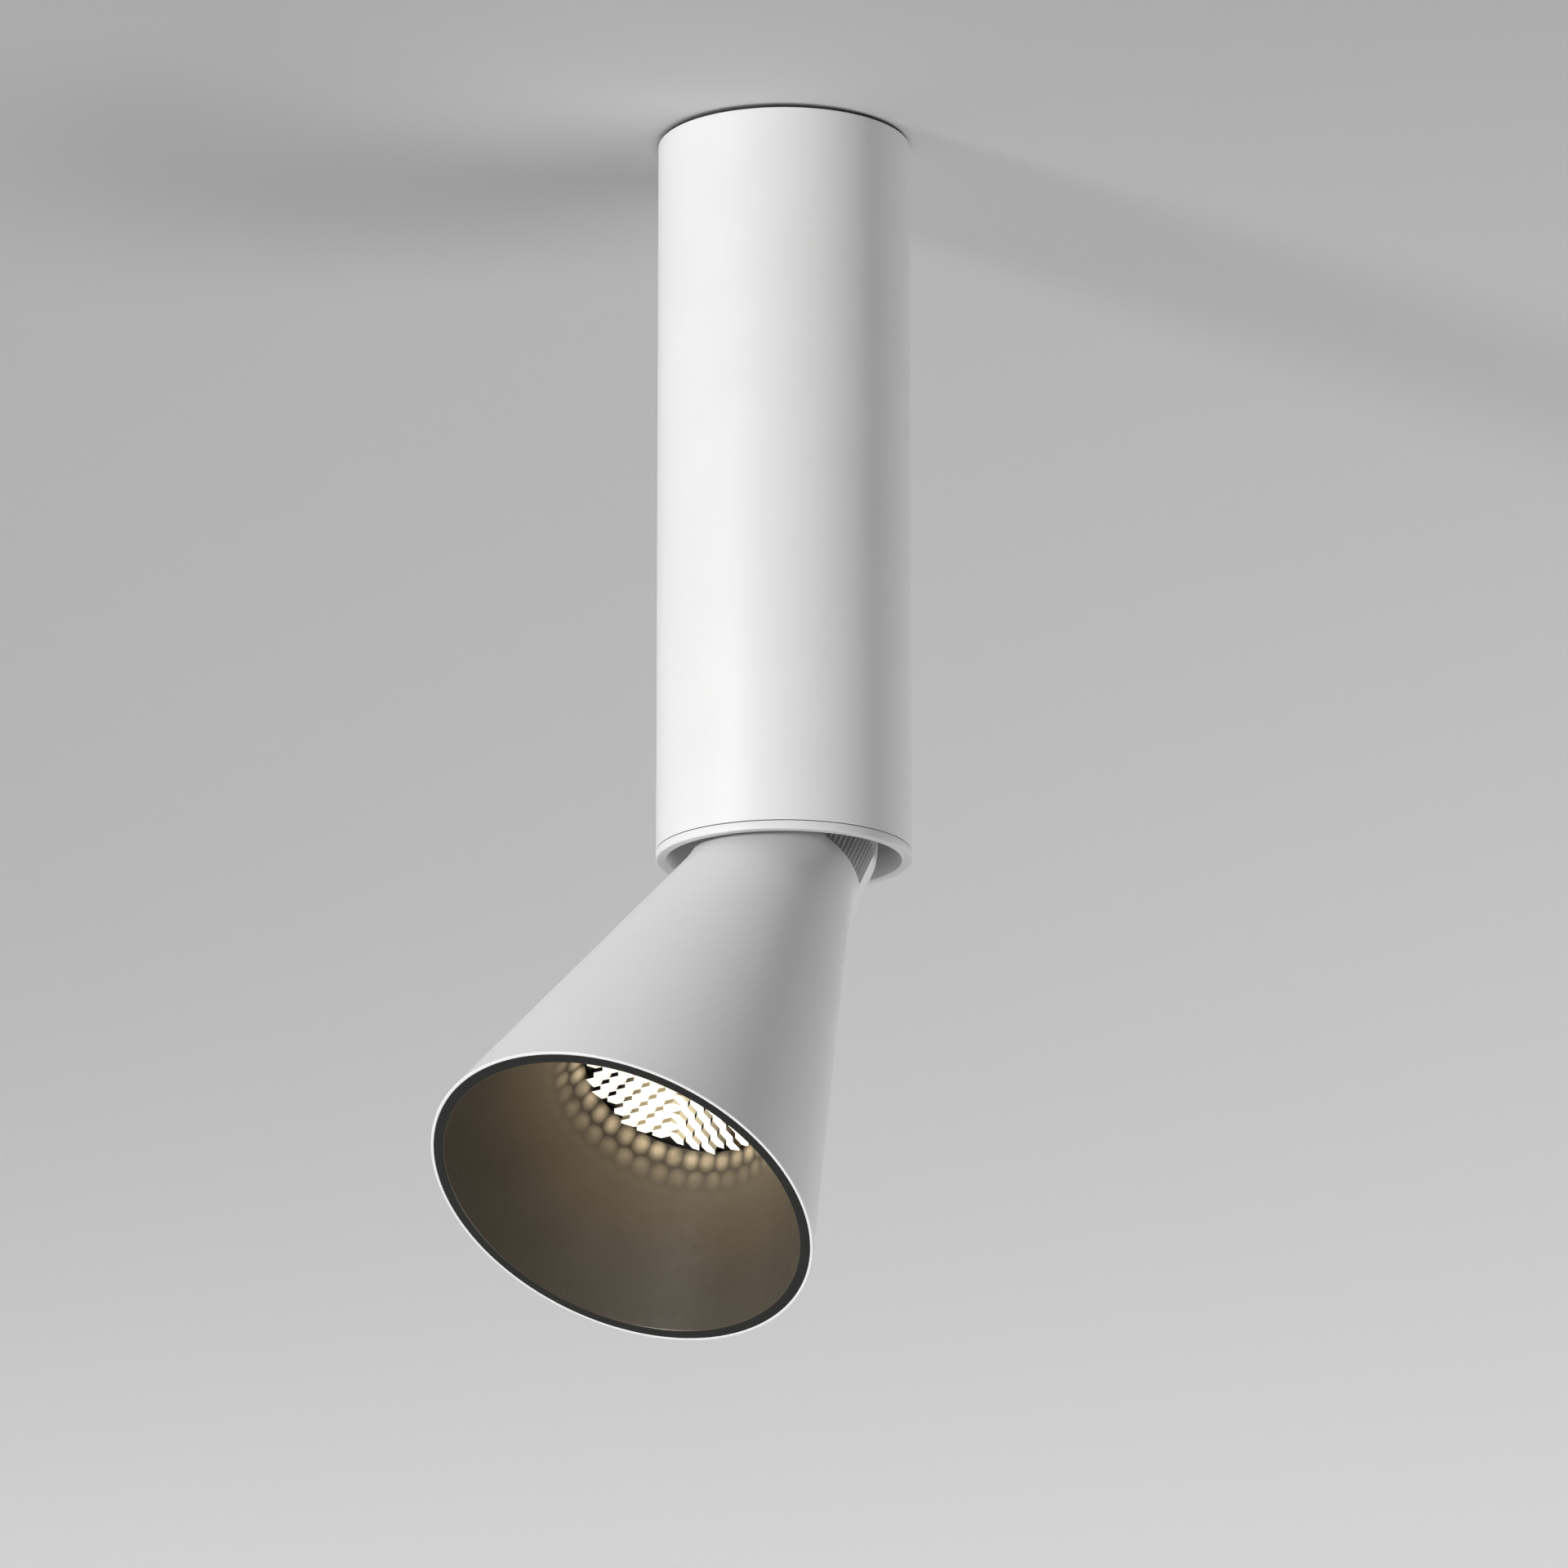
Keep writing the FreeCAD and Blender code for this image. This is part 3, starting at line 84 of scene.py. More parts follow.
class NodeTree:
    """The nodes of a material or of the world."""

    def __init__(self, tree):
        self.tree = tree

    def feed(self, socket, value):
        if isinstance(value, Value):
            self.tree.links.new(value.socket, socket)
            return
        if isinstance(value, (tuple, list)) and len(value) == 3 and socket.type == "RGBA":
            value = (*value, 1)
        socket.default_value = value

    def node(self, kind, settings=None, sockets=None, out=0):
        made = self.tree.nodes.new(kind)
        for key, value in (settings or {}).items():
            setattr(made, key, value)
        for key, value in (sockets or {}).items():
            self.feed(made.inputs[key], value)
        return Value(self, made.outputs[out])

    def spread(self, value, low, high, from_low=NOISE_LOW, from_high=NOISE_HIGH):
        """Carries a value from one range to another; unless told otherwise, from the range of a noise."""
        return self.node("ShaderNodeMapRange", None, {
            "Value": value, "From Min": from_low, "From Max": from_high, "To Min": low, "To Max": high})

    def along(self, place, way):
        """How far a place lies along a way."""
        sockets = {0: place, 1: tuple(way)}
        return self.node("ShaderNodeVectorMath", {"operation": "DOT_PRODUCT"}, sockets, out="Value")


class Finish(NodeTree):
    """One material: a Principled shader and the nodes that feed it."""

    def __init__(self, name, **sockets):
        self.material = bpy.data.materials.new(name)
        self.material.use_nodes = True
        super().__init__(self.material.node_tree)
        self.shader = self.tree.nodes["Principled BSDF"]
        for key, value in sockets.items():
            self.feed(self.shader.inputs[key.replace("_", " ")], value)

    def place(self):
        return self.node("ShaderNodeTexCoord", out="Object")

    def noise(self, scale, detail=2, rough=0.5, stretch=(1, 1, 1)):
        spot = self.node("ShaderNodeMapping", None, {"Vector": self.place(), "Scale": stretch})
        return self.node("ShaderNodeTexNoise", None, {
            "Vector": spot, "Scale": scale, "Detail": detail, "Roughness": rough})

    def blend_colours(self, share, first, second):
        return self.node("ShaderNodeMix", {"data_type": "RGBA"}, {0: share, 6: first, 7: second}, out=2)

    def colour(self, value):
        self.feed(self.shader.inputs["Base Color"], value)

    def rough(self, value):
        self.feed(self.shader.inputs["Roughness"], value)

    def glow(self, value):
        self.feed(self.shader.inputs["Emission Color"], value)

    def shine(self, value):
        self.feed(self.shader.inputs["Specular IOR Level"], value)

    def relief(self, height, depth_microns, strength=1.0):
        sockets = {"Height": height, "Distance": depth_microns * MICRON, "Strength": strength}
        self.feed(self.shader.inputs["Normal"], self.node("ShaderNodeBump", None, sockets))


# Each finish is given by its name, its light and its dark tone, its least and most roughness,
# and for a mottled one the scale of its grain and the depth of its relief in microns.

GLOSS_GRAIN = 2.3
RELIEF_GRAIN = 5


def mottled(name, light, dark, rough, grain, relief_depth, metallic=0.0, stretch=(1, 1, 1)):
    """A finish with a small change of tone, gloss and relief over its surface."""
    finish = Finish(name, Metallic=metallic)
    tone = finish.noise(grain, 3, 0.6, stretch)
    finish.colour(finish.blend_colours(finish.spread(tone, 0, 1), dark, light))
    finish.rough(finish.spread(finish.noise(grain * GLOSS_GRAIN, 2, 0.5, stretch), *rough))
    finish.relief(finish.noise(grain * RELIEF_GRAIN, 2, 0.6, stretch), relief_depth)
    return finish.material


PAINT_SHINE = 0.42
PAINT_CLOUD = 60
PAINT_GLOSS_GRAIN = 240
PEEL_GRAIN = 700
FINE_GRAIN = 3200
PEEL_PART = 0.7
FINE_PART = 0.3
PEEL_DEPTH = 12
PEEL_STRENGTH = 0.55


def powder_coat(name, light, dark, rough):
    """Baked powder paint: a faint orange peel under a much finer grain."""
    finish = Finish(name)
    finish.shine(PAINT_SHINE)
    cloud = finish.noise(PAINT_CLOUD, 3, 0.5)
    finish.colour(finish.blend_colours(finish.spread(cloud, 0, 1), dark, light))
    finish.rough(finish.spread(finish.noise(PAINT_GLOSS_GRAIN, 2, 0.5), *rough))
    peel = finish.noise(PEEL_GRAIN, 2, 0.5)
    grain = finish.noise(FINE_GRAIN, 2, 0.6)
    finish.relief(peel * PEEL_PART + grain * FINE_PART, PEEL_DEPTH, PEEL_STRENGTH)
    return finish.material


# ---------- Places ----------

joints = {joint["name"]: joint for joint in frame["joints"]}
tilt = joints["tilt"]
pivot = Vector(tilt["pos_m"])
hinge_way = Vector(tilt["axis"])
lean = math.radians(tilt["range_deg"][1])
straight = Matrix.Rotation(math.atan2(hinge_way.y, hinge_way.x), 4, "Z")
ON_HEAD = Matrix.Translation(pivot) @ straight @ Matrix.Rotation(-lean, 4, "X")
ON_CEILING = Matrix.Identity(4)


def on_head(x, y, z):
    """The place in the frame of a point that is given in the head's own millimetres."""
    return ON_HEAD @ (Vector((x, y, z)) * MM)


# ---------- Mesh making ----------

def mesh_object(name, shape, materials=()):
    """Turns a bmesh into an object of the scene."""
    mesh = bpy.data.meshes.new(name)
    shape.to_mesh(mesh)
    shape.free()
    for material in materials:
        mesh.materials.append(material)
    made = bpy.data.objects.new(name, mesh)
    bpy.context.collection.objects.link(made)
    return made


def finished(name, shape, materials, body, sharp_deg=30):
    """Turns a bmesh into a smooth piece that rides on a body."""
    bmesh.ops.recalc_face_normals(shape, faces=shape.faces)
    piece = mesh_object(name, shape, materials)
    piece.data.shade_smooth()
    piece.data.set_sharp_from_angle(angle=math.radians(sharp_deg))
    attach(piece, body)
    return piece


def eased(points, radii, steps=5):
    """Rounds the corners of a closed outline; radii gives one rounding for each point."""
    result = []
    count = len(points)
    for i, (point, radius) in enumerate(zip(points, radii)):
        here = Vector(point)
        if radius == 0:
            result.append(tuple(here))
            continue
        before = (Vector(points[i - 1]) - here).normalized()
        after = (Vector(points[(i + 1) % count]) - here).normalized()
        half = before.angle(after) / 2
        reach = radius / math.tan(half)
        centre = here + (before + after).normalized() * (radius / math.sin(half))
        start = here + before * reach - centre
        end = here + after * reach - centre
        for k in range(steps + 1):
            way = start.slerp(end, k / steps).normalized() * radius
            result.append(tuple(centre + way))
    return result


def swept_ring(shape, outline, turn, steps, radius_at=None, slot=0):
    """Turns a closed outline of (radius, height) in millimetres once round the local Z."""
    rings = []
    for k in range(steps):
        angle = 2 * math.pi * k / steps
        ring = []
        for radius, height in outline:
            r = radius_at(radius, height, angle) if radius_at else radius
            spot = Vector((r * math.cos(angle), r * math.sin(angle), height)) * MM
            ring.append(shape.verts.new(turn @ spot))
        rings.append(ring)
    for k in range(steps):
        here, there = rings[k], rings[(k + 1) % steps]
        for i in range(len(outline)):
            n = (i + 1) % len(outline)
            face = shape.faces.new((here[i], here[n], there[n], there[i]))
            face.material_index = slot


def turned_piece(name, outline, turn, materials, body, steps=384, sharp_deg=30):
    """A piece like one from a lathe."""
    shape = bmesh.new()
    swept_ring(shape, outline, turn, steps)
    return finished(name, shape, materials, body, sharp_deg)


def paint_faces(piece, turn, slot, chosen):
    """Gives a slot to the faces that are chosen by their radius and height in millimetres."""
    back_home = turn.inverted()
    for polygon in piece.data.polygons:
        spot = (back_home @ polygon.center) / MM
        if chosen(math.hypot(spot.x, spot.y), spot.z):
            polygon.material_index = slot


DRILL_SIDES = 48


def drill(piece, start, end, radius):
    """Cuts a round hole from start to end, all in metres."""
    way = end - start
    shape = bmesh.new()
    place = Matrix.Translation((start + end) / 2) @ way.to_track_quat("Z", "Y").to_matrix().to_4x4()
    bmesh.ops.create_cone(shape, cap_ends=True, segments=DRILL_SIDES, radius1=radius, radius2=radius,
                          depth=way.length, matrix=place)
    cut(piece, mesh_object("drill", shape))


def cut(piece, cutter):
    """Takes the cutter's shape out of the piece for good and removes the cutter."""
    boolean = piece.modifiers.new("hole", "BOOLEAN")
    boolean.operation = "DIFFERENCE"
    boolean.solver = "EXACT"
    boolean.object = cutter
    bpy.context.view_layer.update()
    whole = piece.evaluated_get(bpy.context.evaluated_depsgraph_get())
    mesh = bpy.data.meshes.new_from_object(whole)
    piece.modifiers.remove(boolean)
    piece.data = mesh
    bpy.data.objects.remove(cutter)


# ---------- White and black finishes ----------

white_paint = powder_coat("white_powder_paint", (0.82, 0.82, 0.815), (0.80, 0.80, 0.795), (0.40, 0.50))
# The shell's rim face is painted lighter than the rest of the paint: a painted highlight along the mouth's
# edge.
rim_painted_highlight = powder_coat("bright_rim_paint", (0.95, 0.95, 0.945), (0.93, 0.93, 0.925), (0.25, 0.32))
inner_paint = powder_coat("thin_paint_inside", (0.76, 0.76, 0.74), (0.72, 0.72, 0.70), (0.5, 0.62))
# A darker paint for the floors of the neck's grooves: painted shade in the recesses.
groove_painted_shade = powder_coat("painted_shade_in_grooves", (0.50, 0.50, 0.49), (0.45, 0.45, 0.44), (0.5, 0.62))
# Black for the baffle's lip, and also on the end ring's faces in the seam, where it is painted shade.
black_lip_and_seam_shade = mottled("black_lip_and_seam_shade", (0.011, 0.011, 0.010), (0.009, 0.009, 0.008), (0.44, 0.52), 200, 8)

# The baffle's cone, in millimetres; the depths are counted from its narrow end towards the mouth.
HEAD_DROP = 111.7
BAFFLE_MOUTH = 42.87
BAFFLE_GROWTH = 0.516
BAFFLE_WALL = 1.2
BAFFLE_END = 73.4
# The spot values place a painted reflection of the lit cells in the cone's narrow end. The shade and glow
# values place painted shade next to the lens and a painted glow of the lens's light.
SPOT_COUNT = 37
SPOT_ROW = 4.3
SPOT_FADE = (1.5, 11)
SHADED = (2.5, 10)
GLOW_START = 9

LACQUER_TONES = ((0.058, 0.048, 0.033), (0.067, 0.056, 0.039))
LACQUER_ROUGH = (0.27, 0.33)
LACQUER_CLOUD = 90
LACQUER_GLOSS_GRAIN = 400
LACQUER_GRAIN = 900
LACQUER_DEPTH = 6
LACQUER_STRENGTH = 0.4
# Painted light: the glow of the lens's light on the cone near the lens and far from it, the painted shade
# kept next to the lens, and the colour of the painted reflection of the cells.
PAINTED_LENS_LIGHT_NEAR = (0.083, 0.062, 0.038)
PAINTED_LENS_LIGHT_FAR = (0.012, 0.009, 0.006)
SHADE_LEFT = 0.12
PAINTED_CELL_REFLECTION = (0.60, 0.46, 0.28)
SPOT_EDGE = (0.16, 0.56)
SPOT_CLOUD = 190
SPOT_UNEVEN = (0.42, 1.1)


def make_baffle_black():
    """Satin black lacquer with painted light from the cells. A painted reflection of the lit cells sits as
    rows of soft spots at its narrow end. A painted glow of the lens's light fades towards the mouth and is
    held down by painted shade next to the lens.
    """
    finish = Finish("satin_black_lacquer_painted_light", Emission_Strength=1.0)
    tone = finish.noise(LACQUER_CLOUD, 3, 0.6)
    finish.colour(finish.blend_colours(finish.spread(tone, 0, 1), *LACQUER_TONES))
    finish.rough(finish.spread(finish.noise(LACQUER_GLOSS_GRAIN, 2, 0.5), *LACQUER_ROUGH))
    finish.relief(finish.noise(LACQUER_GRAIN, 2, 0.5), LACQUER_DEPTH, LACQUER_STRENGTH)
    start = on_head(0, 0, -BAFFLE_END)
    ways = [ON_HEAD.to_3x3() @ Vector(way) for way in ((1, 0, 0), (0, 1, 0), (0, 0, -1))]
    place = finish.place()
    across, up, depth = [finish.along(place, way) - start.dot(way) for way in ways]

    def faded(low_high, at_start=1, at_end=0):
        return finish.spread(depth, at_start, at_end, low_high[0] * MM, low_high[1] * MM)

    # Rows of soft spots round the narrow end: a painted reflection of the lit cells.
    row = depth / (SPOT_ROW * MM)
    line = row.maths("FLOOR")
    turn = up.maths("ARCTAN2", across) * (SPOT_COUNT / (2 * math.pi)) + line * 0.5
    aside = turn.maths("FRACT") - 0.5
    along = row - line - 0.5
    off = (aside * aside + along * along) ** 0.5
    spot = finish.spread(off, 1, 0, *SPOT_EDGE)
    fade = faded(SPOT_FADE)
    uneven = finish.spread(finish.noise(SPOT_CLOUD, 2, 0.5), *SPOT_UNEVEN)
    # A painted glow of the lens's light, fading towards the mouth and held down next to the lens by painted
    # shade.
    near = faded((GLOW_START, HEAD_DROP - BAFFLE_END))
    shade = faded(SHADED, SHADE_LEFT, 1)
    painted_lens_glow = finish.blend_colours(near * near * shade, PAINTED_LENS_LIGHT_FAR, PAINTED_LENS_LIGHT_NEAR)
    finish.glow(finish.blend_colours(spot * fade * fade * uneven, painted_lens_glow, PAINTED_CELL_REFLECTION))
    return finish.material


baffle_black_painted_light = make_baffle_black()


# ---------- Finishes of the lens ----------

LIT_CLOUD = 160
# The walls of the cells are near black in themselves. Their glow is painted light from the lit tops, and the
# walls turned away are in painted shade.
PAINTED_WALL_SHADE = (0.004, 0.0035, 0.003)
WALL_GRAIN = 700
WALL_WANDER = 1.2


def make_cell_light():
    """The lit tops of the lens cells: warm white in soft clouds."""
    finish = Finish("lit_cell_tops", Base_Color=(0.5, 0.49, 0.45), Roughness=0.3, Emission_Strength=1.0)
    share = finish.spread(finish.noise(LIT_CLOUD, 2, 0.5), 0, 1)
    finish.glow(finish.blend_colours(share, (0.96, 0.90, 0.76), (1.04, 1.02, 0.94)))
    return finish.material


def make_painted_cell_wall(name, way, near, far, near_painted_light, far_painted_light):
    """Side walls of the cells with painted light: a glow that stands in for the light of the lit tops falling
    on them, which changes along a way across the lens from near to far, in metres.
    """
    finish = Finish(name, Base_Color=(0.002, 0.002, 0.002), Roughness=0.5, Emission_Strength=1.0)
    finish.shine(0.0)
    reach = finish.along(finish.place(), way) + finish.noise(WALL_GRAIN, 2, 0.6) * (WALL_WANDER * MM)
    finish.glow(finish.blend_colours(finish.spread(reach, 0, 1, near, far), near_painted_light, far_painted_light))
    return finish.material


cell_light = make_cell_light()
# Three copies of the wall finish: one in painted shade, and two lit by painted light from the left and from
# the right across the lens.
walls_painted_shade = make_painted_cell_wall("cell_walls_painted_shade", (1, 0, 0), -0.05, -0.01, PAINTED_WALL_SHADE, (0.007, 0.006, 0.004))
left_walls_painted_light = make_painted_cell_wall("left_cell_walls_painted_light", (1, 0.08, -0.29), 0.0297, 0.0362, PAINTED_WALL_SHADE,
                           (0.46, 0.36, 0.20))
right_walls_painted_light = make_painted_cell_wall("right_cell_walls_painted_light", (1, 0, 0), -0.0205, -0.0113, (0.78, 0.66, 0.42),
                            (0.06, 0.04, 0.02))
lens_dark = mottled("dark_lens_ground", (0.02, 0.018, 0.015), (0.01, 0.009, 0.008), (0.3, 0.4), 300, 10)


# ---------- Finishes of the pieces that keep their shape from the frame ----------

PLAIN_FINISHES = [
    ("black_gasket_foam", (0.022, 0.022, 0.022), (0.012, 0.012, 0.012), (0.8, 0.95), 900, 40),
    ("grommet_rubber", (0.03, 0.03, 0.03), (0.02, 0.02, 0.02), (0.55, 0.7), 500, 20),
    ("white_nylon", (0.82, 0.81, 0.78), (0.76, 0.75, 0.72), (0.4, 0.55), 300, 10),
    ("grey_thermal_pad", (0.42, 0.44, 0.48), (0.34, 0.36, 0.40), (0.7, 0.85), 600, 30),
    ("white_board_mask", (0.84, 0.84, 0.82), (0.78, 0.78, 0.76), (0.3, 0.42), 500, 10),
    ("yellow_phosphor", (0.92, 0.76, 0.16), (0.84, 0.66, 0.10), (0.4, 0.55), 700, 20),
    ("white_case_plastic", (0.80, 0.80, 0.78), (0.74, 0.74, 0.72), (0.4, 0.52), 350, 20),
    ("black_holder_plastic", (0.02, 0.02, 0.02), (0.013, 0.013, 0.013), (0.45, 0.6), 400, 20),
    ("green_board_mask", (0.03, 0.22, 0.09), (0.02, 0.15, 0.06), (0.3, 0.45), 700, 20),
    ("yellow_winding_tape", (0.78, 0.60, 0.10), (0.66, 0.48, 0.07), (0.35, 0.5), 300, 20),
    ("capacitor_sleeve", (0.03, 0.04, 0.08), (0.02, 0.025, 0.05), (0.2, 0.32), 300, 10),
    ("brown_insulation", (0.20, 0.08, 0.03), (0.14, 0.055, 0.02), (0.4, 0.5), 500, 10),
    ("blue_insulation", (0.04, 0.16, 0.55), (0.03, 0.11, 0.42), (0.4, 0.5), 500, 10),
    ("white_silicone", (0.80, 0.80, 0.78), (0.74, 0.74, 0.72), (0.45, 0.6), 400, 10),
]
METAL_FINISHES = [
    ("zinc_plated_steel", (0.62, 0.63, 0.65), (0.50, 0.51, 0.53), (0.28, 0.45), 140, 10),
    ("screw_steel", (0.50, 0.50, 0.51), (0.36, 0.36, 0.37), (0.25, 0.4), 500, 10),
    ("spring_steel", (0.42, 0.42, 0.43), (0.30, 0.30, 0.31), (0.25, 0.4), 400, 8),
    ("turned_aluminium", (0.78, 0.78, 0.79), (0.66, 0.66, 0.68), (0.25, 0.42), 200, 10),
    ("clamp_brass", (0.75, 0.55, 0.25), (0.60, 0.42, 0.18), (0.25, 0.4), 400, 10),
    ("coil_copper", (0.75, 0.36, 0.17), (0.55, 0.24, 0.10), (0.25, 0.4), 900, 40),
]
GRAIN_STRETCH = {"turned_aluminium": (1, 1, 6), "coil_copper": (1, 6, 1)}
STRIPE_FROM = 8


def make_earth_wire():
    """Green insulation with a yellow stripe."""
    finish = Finish("green_yellow_insulation", Roughness=0.45)
    parts = finish.node("ShaderNodeSeparateXYZ", None, {0: finish.place()})
    stripe = parts.above(STRIPE_FROM * MM)
    finish.colour(finish.blend_colours(stripe, (0.05, 0.35, 0.05), (0.85, 0.70, 0.03)))
    finish.relief(finish.noise(800, 2, 0.5), 10)
    return finish.material


finishes = {row[0]: mottled(*row) for row in PLAIN_FINISHES}
for row in METAL_FINISHES:
    stretch = GRAIN_STRETCH.get(row[0], (1, 1, 1))
    finishes[row[0]] = mottled(*row, metallic=1.0, stretch=stretch)
finishes["green_yellow_insulation"] = make_earth_wire()

FINISHED_NODES = {
    "zinc_plated_steel": ["ceiling_bracket", "chassis_strip", "bulkhead", "swivel_stem", "hinge_yoke"],
    "grommet_rubber": ["cable_grommet"],
    "screw_steel": ["set_screws", "chassis_screws", "pan_stop_pin", "shell_screws", "board_screws",
                    "holder_screws", "yoke_screws", "driver_screws", "hinge_pin", "hinge_nut", "swivel_nut",
                    "earth_screw"],
    "spring_steel": ["wave_washer", "stop_washer", "hinge_spring_washer"],
    "white_nylon": ["glide_washers", "hinge_washers"],
    "turned_aluminium": ["heat_sink"],
    "grey_thermal_pad": ["thermal_pad"],
    "white_board_mask": ["light_board"],
    "yellow_phosphor": ["light_emitter"],
    "white_case_plastic": ["board_connector", "terminal_block", "driver_lid", "driver_case",
                           "input_connector", "output_connector"],
    "black_holder_plastic": ["lens_holder"],
    "clamp_brass": ["terminal_clamps", "terminal_screws", "earth_tag"],
    "green_board_mask": ["driver_board"],
    "yellow_winding_tape": ["driver_transformer"],
    "capacitor_sleeve": ["driver_capacitors"],
    "coil_copper": ["driver_coil"],
    "brown_insulation": ["live_lead"],
    "blue_insulation": ["neutral_lead"],
    "green_yellow_insulation": ["earth_lead"],
    "white_silicone": ["driver_lead", "stem_lead", "head_lead"],
}
for finish_name, node_names in FINISHED_NODES.items():
    for node_name in node_names:
        for carried_slot in frame["nodes"][node_name].material_slots:
            carried_slot.material = finishes[finish_name]


# ---------- Housing, in millimetres ----------

TUBE_R = 30.0
TUBE_BORE = 28.5
TUBE_TOP = -0.6
TUBE_END = -174.50
RING_TOP = -174.70
RING_FACE = -176.70
RING_BORE = 27.6
RING_SPIGOT_TOP = -166.62
SPIGOT_PLAY = 0.05
GASKET_INSET = 0.35
SET_SCREW_TURNS = (35, 145)
SET_SCREW_DROP = 9.0
SET_SCREW_INSIDE = 26
SET_SCREW_OUTSIDE = 32
SET_SCREW_HOLE = 2.05

# How far a painted face's middle may lie from the line that divides two finishes.
FACE_PLAY = 0.1
SEAM_PLAY = 0.01


def make_housing_tube():
    outline = eased(
        [(TUBE_R, TUBE_TOP), (TUBE_R, TUBE_END), (TUBE_BORE, TUBE_END), (TUBE_BORE, TUBE_TOP)],
        [0.2, 0.12, 0, 0.1])
    piece = turned_piece("white_tube", outline, ON_CEILING, [white_paint, inner_paint], "housing")
    paint_faces(piece, ON_CEILING, 1, lambda radius, height: radius < TUBE_BORE + FACE_PLAY)
    for turn in SET_SCREW_TURNS:
        way = Vector((math.cos(math.radians(turn)), math.sin(math.radians(turn)), 0))
        drop = Vector((0, 0, -SET_SCREW_DROP * MM))
        drill(piece, way * SET_SCREW_INSIDE * MM + drop, way * SET_SCREW_OUTSIDE * MM + drop,
              SET_SCREW_HOLE * MM)
    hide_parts("housing_tube")


def make_end_ring():
    spigot = TUBE_BORE - SPIGOT_PLAY
    outline = eased(
        [(TUBE_R, RING_TOP), (TUBE_R, RING_FACE), (RING_BORE, RING_FACE), (RING_BORE, RING_SPIGOT_TOP),
         (spigot, RING_SPIGOT_TOP), (spigot, RING_TOP)],
        [0.12, 0.3, 0.3, 0, 0, 0])
    piece = turned_piece("white_end_ring", outline, ON_CEILING, [white_paint, black_lip_and_seam_shade], "housing")
    # The ring's top face and its spigot's outside, seen only through the seam, are black: painted shade in
    # the seam.
    paint_faces(piece, ON_CEILING, 1,
                lambda radius, height: height > RING_TOP - SEAM_PLAY and radius > TUBE_BORE - FACE_PLAY)
    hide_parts("end_ring")


def make_gasket():
    outer = TUBE_R - GASKET_INSET
    inner = TUBE_BORE + GASKET_INSET
    outline = eased([(outer, 0), (outer, TUBE_TOP), (inner, TUBE_TOP), (inner, 0)], [0.1, 0.1, 0.1, 0.1])
    foam = finishes["black_gasket_foam"]
    piece = turned_piece("foam_gasket", outline, ON_CEILING, [foam], "housing", steps=288)
    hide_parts("ceiling_gasket")


# ---------- Neck, in millimetres ----------

NECK_R = 20.0
NECK_WALL = 2.0
NECK_DROP = 3.7
NECK_SIDE_STEPS = 6
NECK_TURN_STEPS = 1440
DOME_FLAT = 7.7
DOME_RISE = 7.5
DOME_STEPS = 20
DOME_HOLE = 0.4
SPIGOT_R = 18.6
SPIGOT_WALL = 1.6
SPIGOT_END = 14.0
SKIN_FROM = SPIGOT_R + 0.3
RIB_PITCH = 3.7
RIB_GROOVES = 6
RIB_DEPTH = 0.55
RIB_HALF_WIDTH = 0.56
# How far below the neck's skin the painted shade in the grooves begins.
GROOVE_TONE = 0.3
GROOVE_PLAY = 0.05
SLOT_HALF = 5.6
SLOT_REACH = 30.0
TILT_LIMIT = 36.0


def rib_hollow(angle):
    """How deep the ribbing cuts below the neck's radius at this angle about the head's axis."""
    turn = math.degrees(angle) % 180
    if turn > 90:
        turn -= 180
    groove = round(turn / RIB_PITCH)
    if abs(groove) > RIB_GROOVES:
        return 0.0
    off = math.radians(turn - groove * RIB_PITCH) * NECK_R
    if abs(off) > RIB_HALF_WIDTH:
        return 0.0
    share = off / RIB_HALF_WIDTH
    return RIB_DEPTH * math.sqrt(1 - share * share)


def dome_arc(radius):
    """A quarter circle from the neck's side up to its flat top."""
    angles = [math.radians(90 * k / DOME_STEPS) for k in range(DOME_STEPS + 1)]
    return [(DOME_FLAT + radius * math.cos(a), DOME_RISE + radius * math.sin(a)) for a in angles]


def neck_outline():
    outer = NECK_R - DOME_FLAT
    inner = outer - NECK_WALL
    side = DOME_RISE + NECK_DROP
    points = [(NECK_R, -NECK_DROP + side * k / NECK_SIDE_STEPS) for k in range(NECK_SIDE_STEPS)]
    points += dome_arc(outer)
    points += [(DOME_HOLE, DOME_RISE + outer), (DOME_HOLE, DOME_RISE + inner)]
    points += dome_arc(inner)[::-1]
    points += [(NECK_R - NECK_WALL, -NECK_DROP), (SPIGOT_R - SPIGOT_WALL, -NECK_DROP),
               (SPIGOT_R - SPIGOT_WALL, -SPIGOT_END), (SPIGOT_R, -SPIGOT_END), (SPIGOT_R, -NECK_DROP)]
    return points


def neck_radius(radius, height, angle):
    """Lets the grooves into the neck's outer skin and leaves its inside and its spigot as they are."""
    if height < DOME_RISE and radius <= SKIN_FROM:
        return radius
    if height > DOME_RISE:
        fillet = NECK_R - DOME_FLAT
        rise = min((height - DOME_RISE) / fillet, 1.0)
        skin = DOME_FLAT + fillet * math.sqrt(1 - rise * rise)
        if radius < skin - NECK_WALL / 2:
            return radius
    return min(radius, NECK_R - rib_hollow(angle))


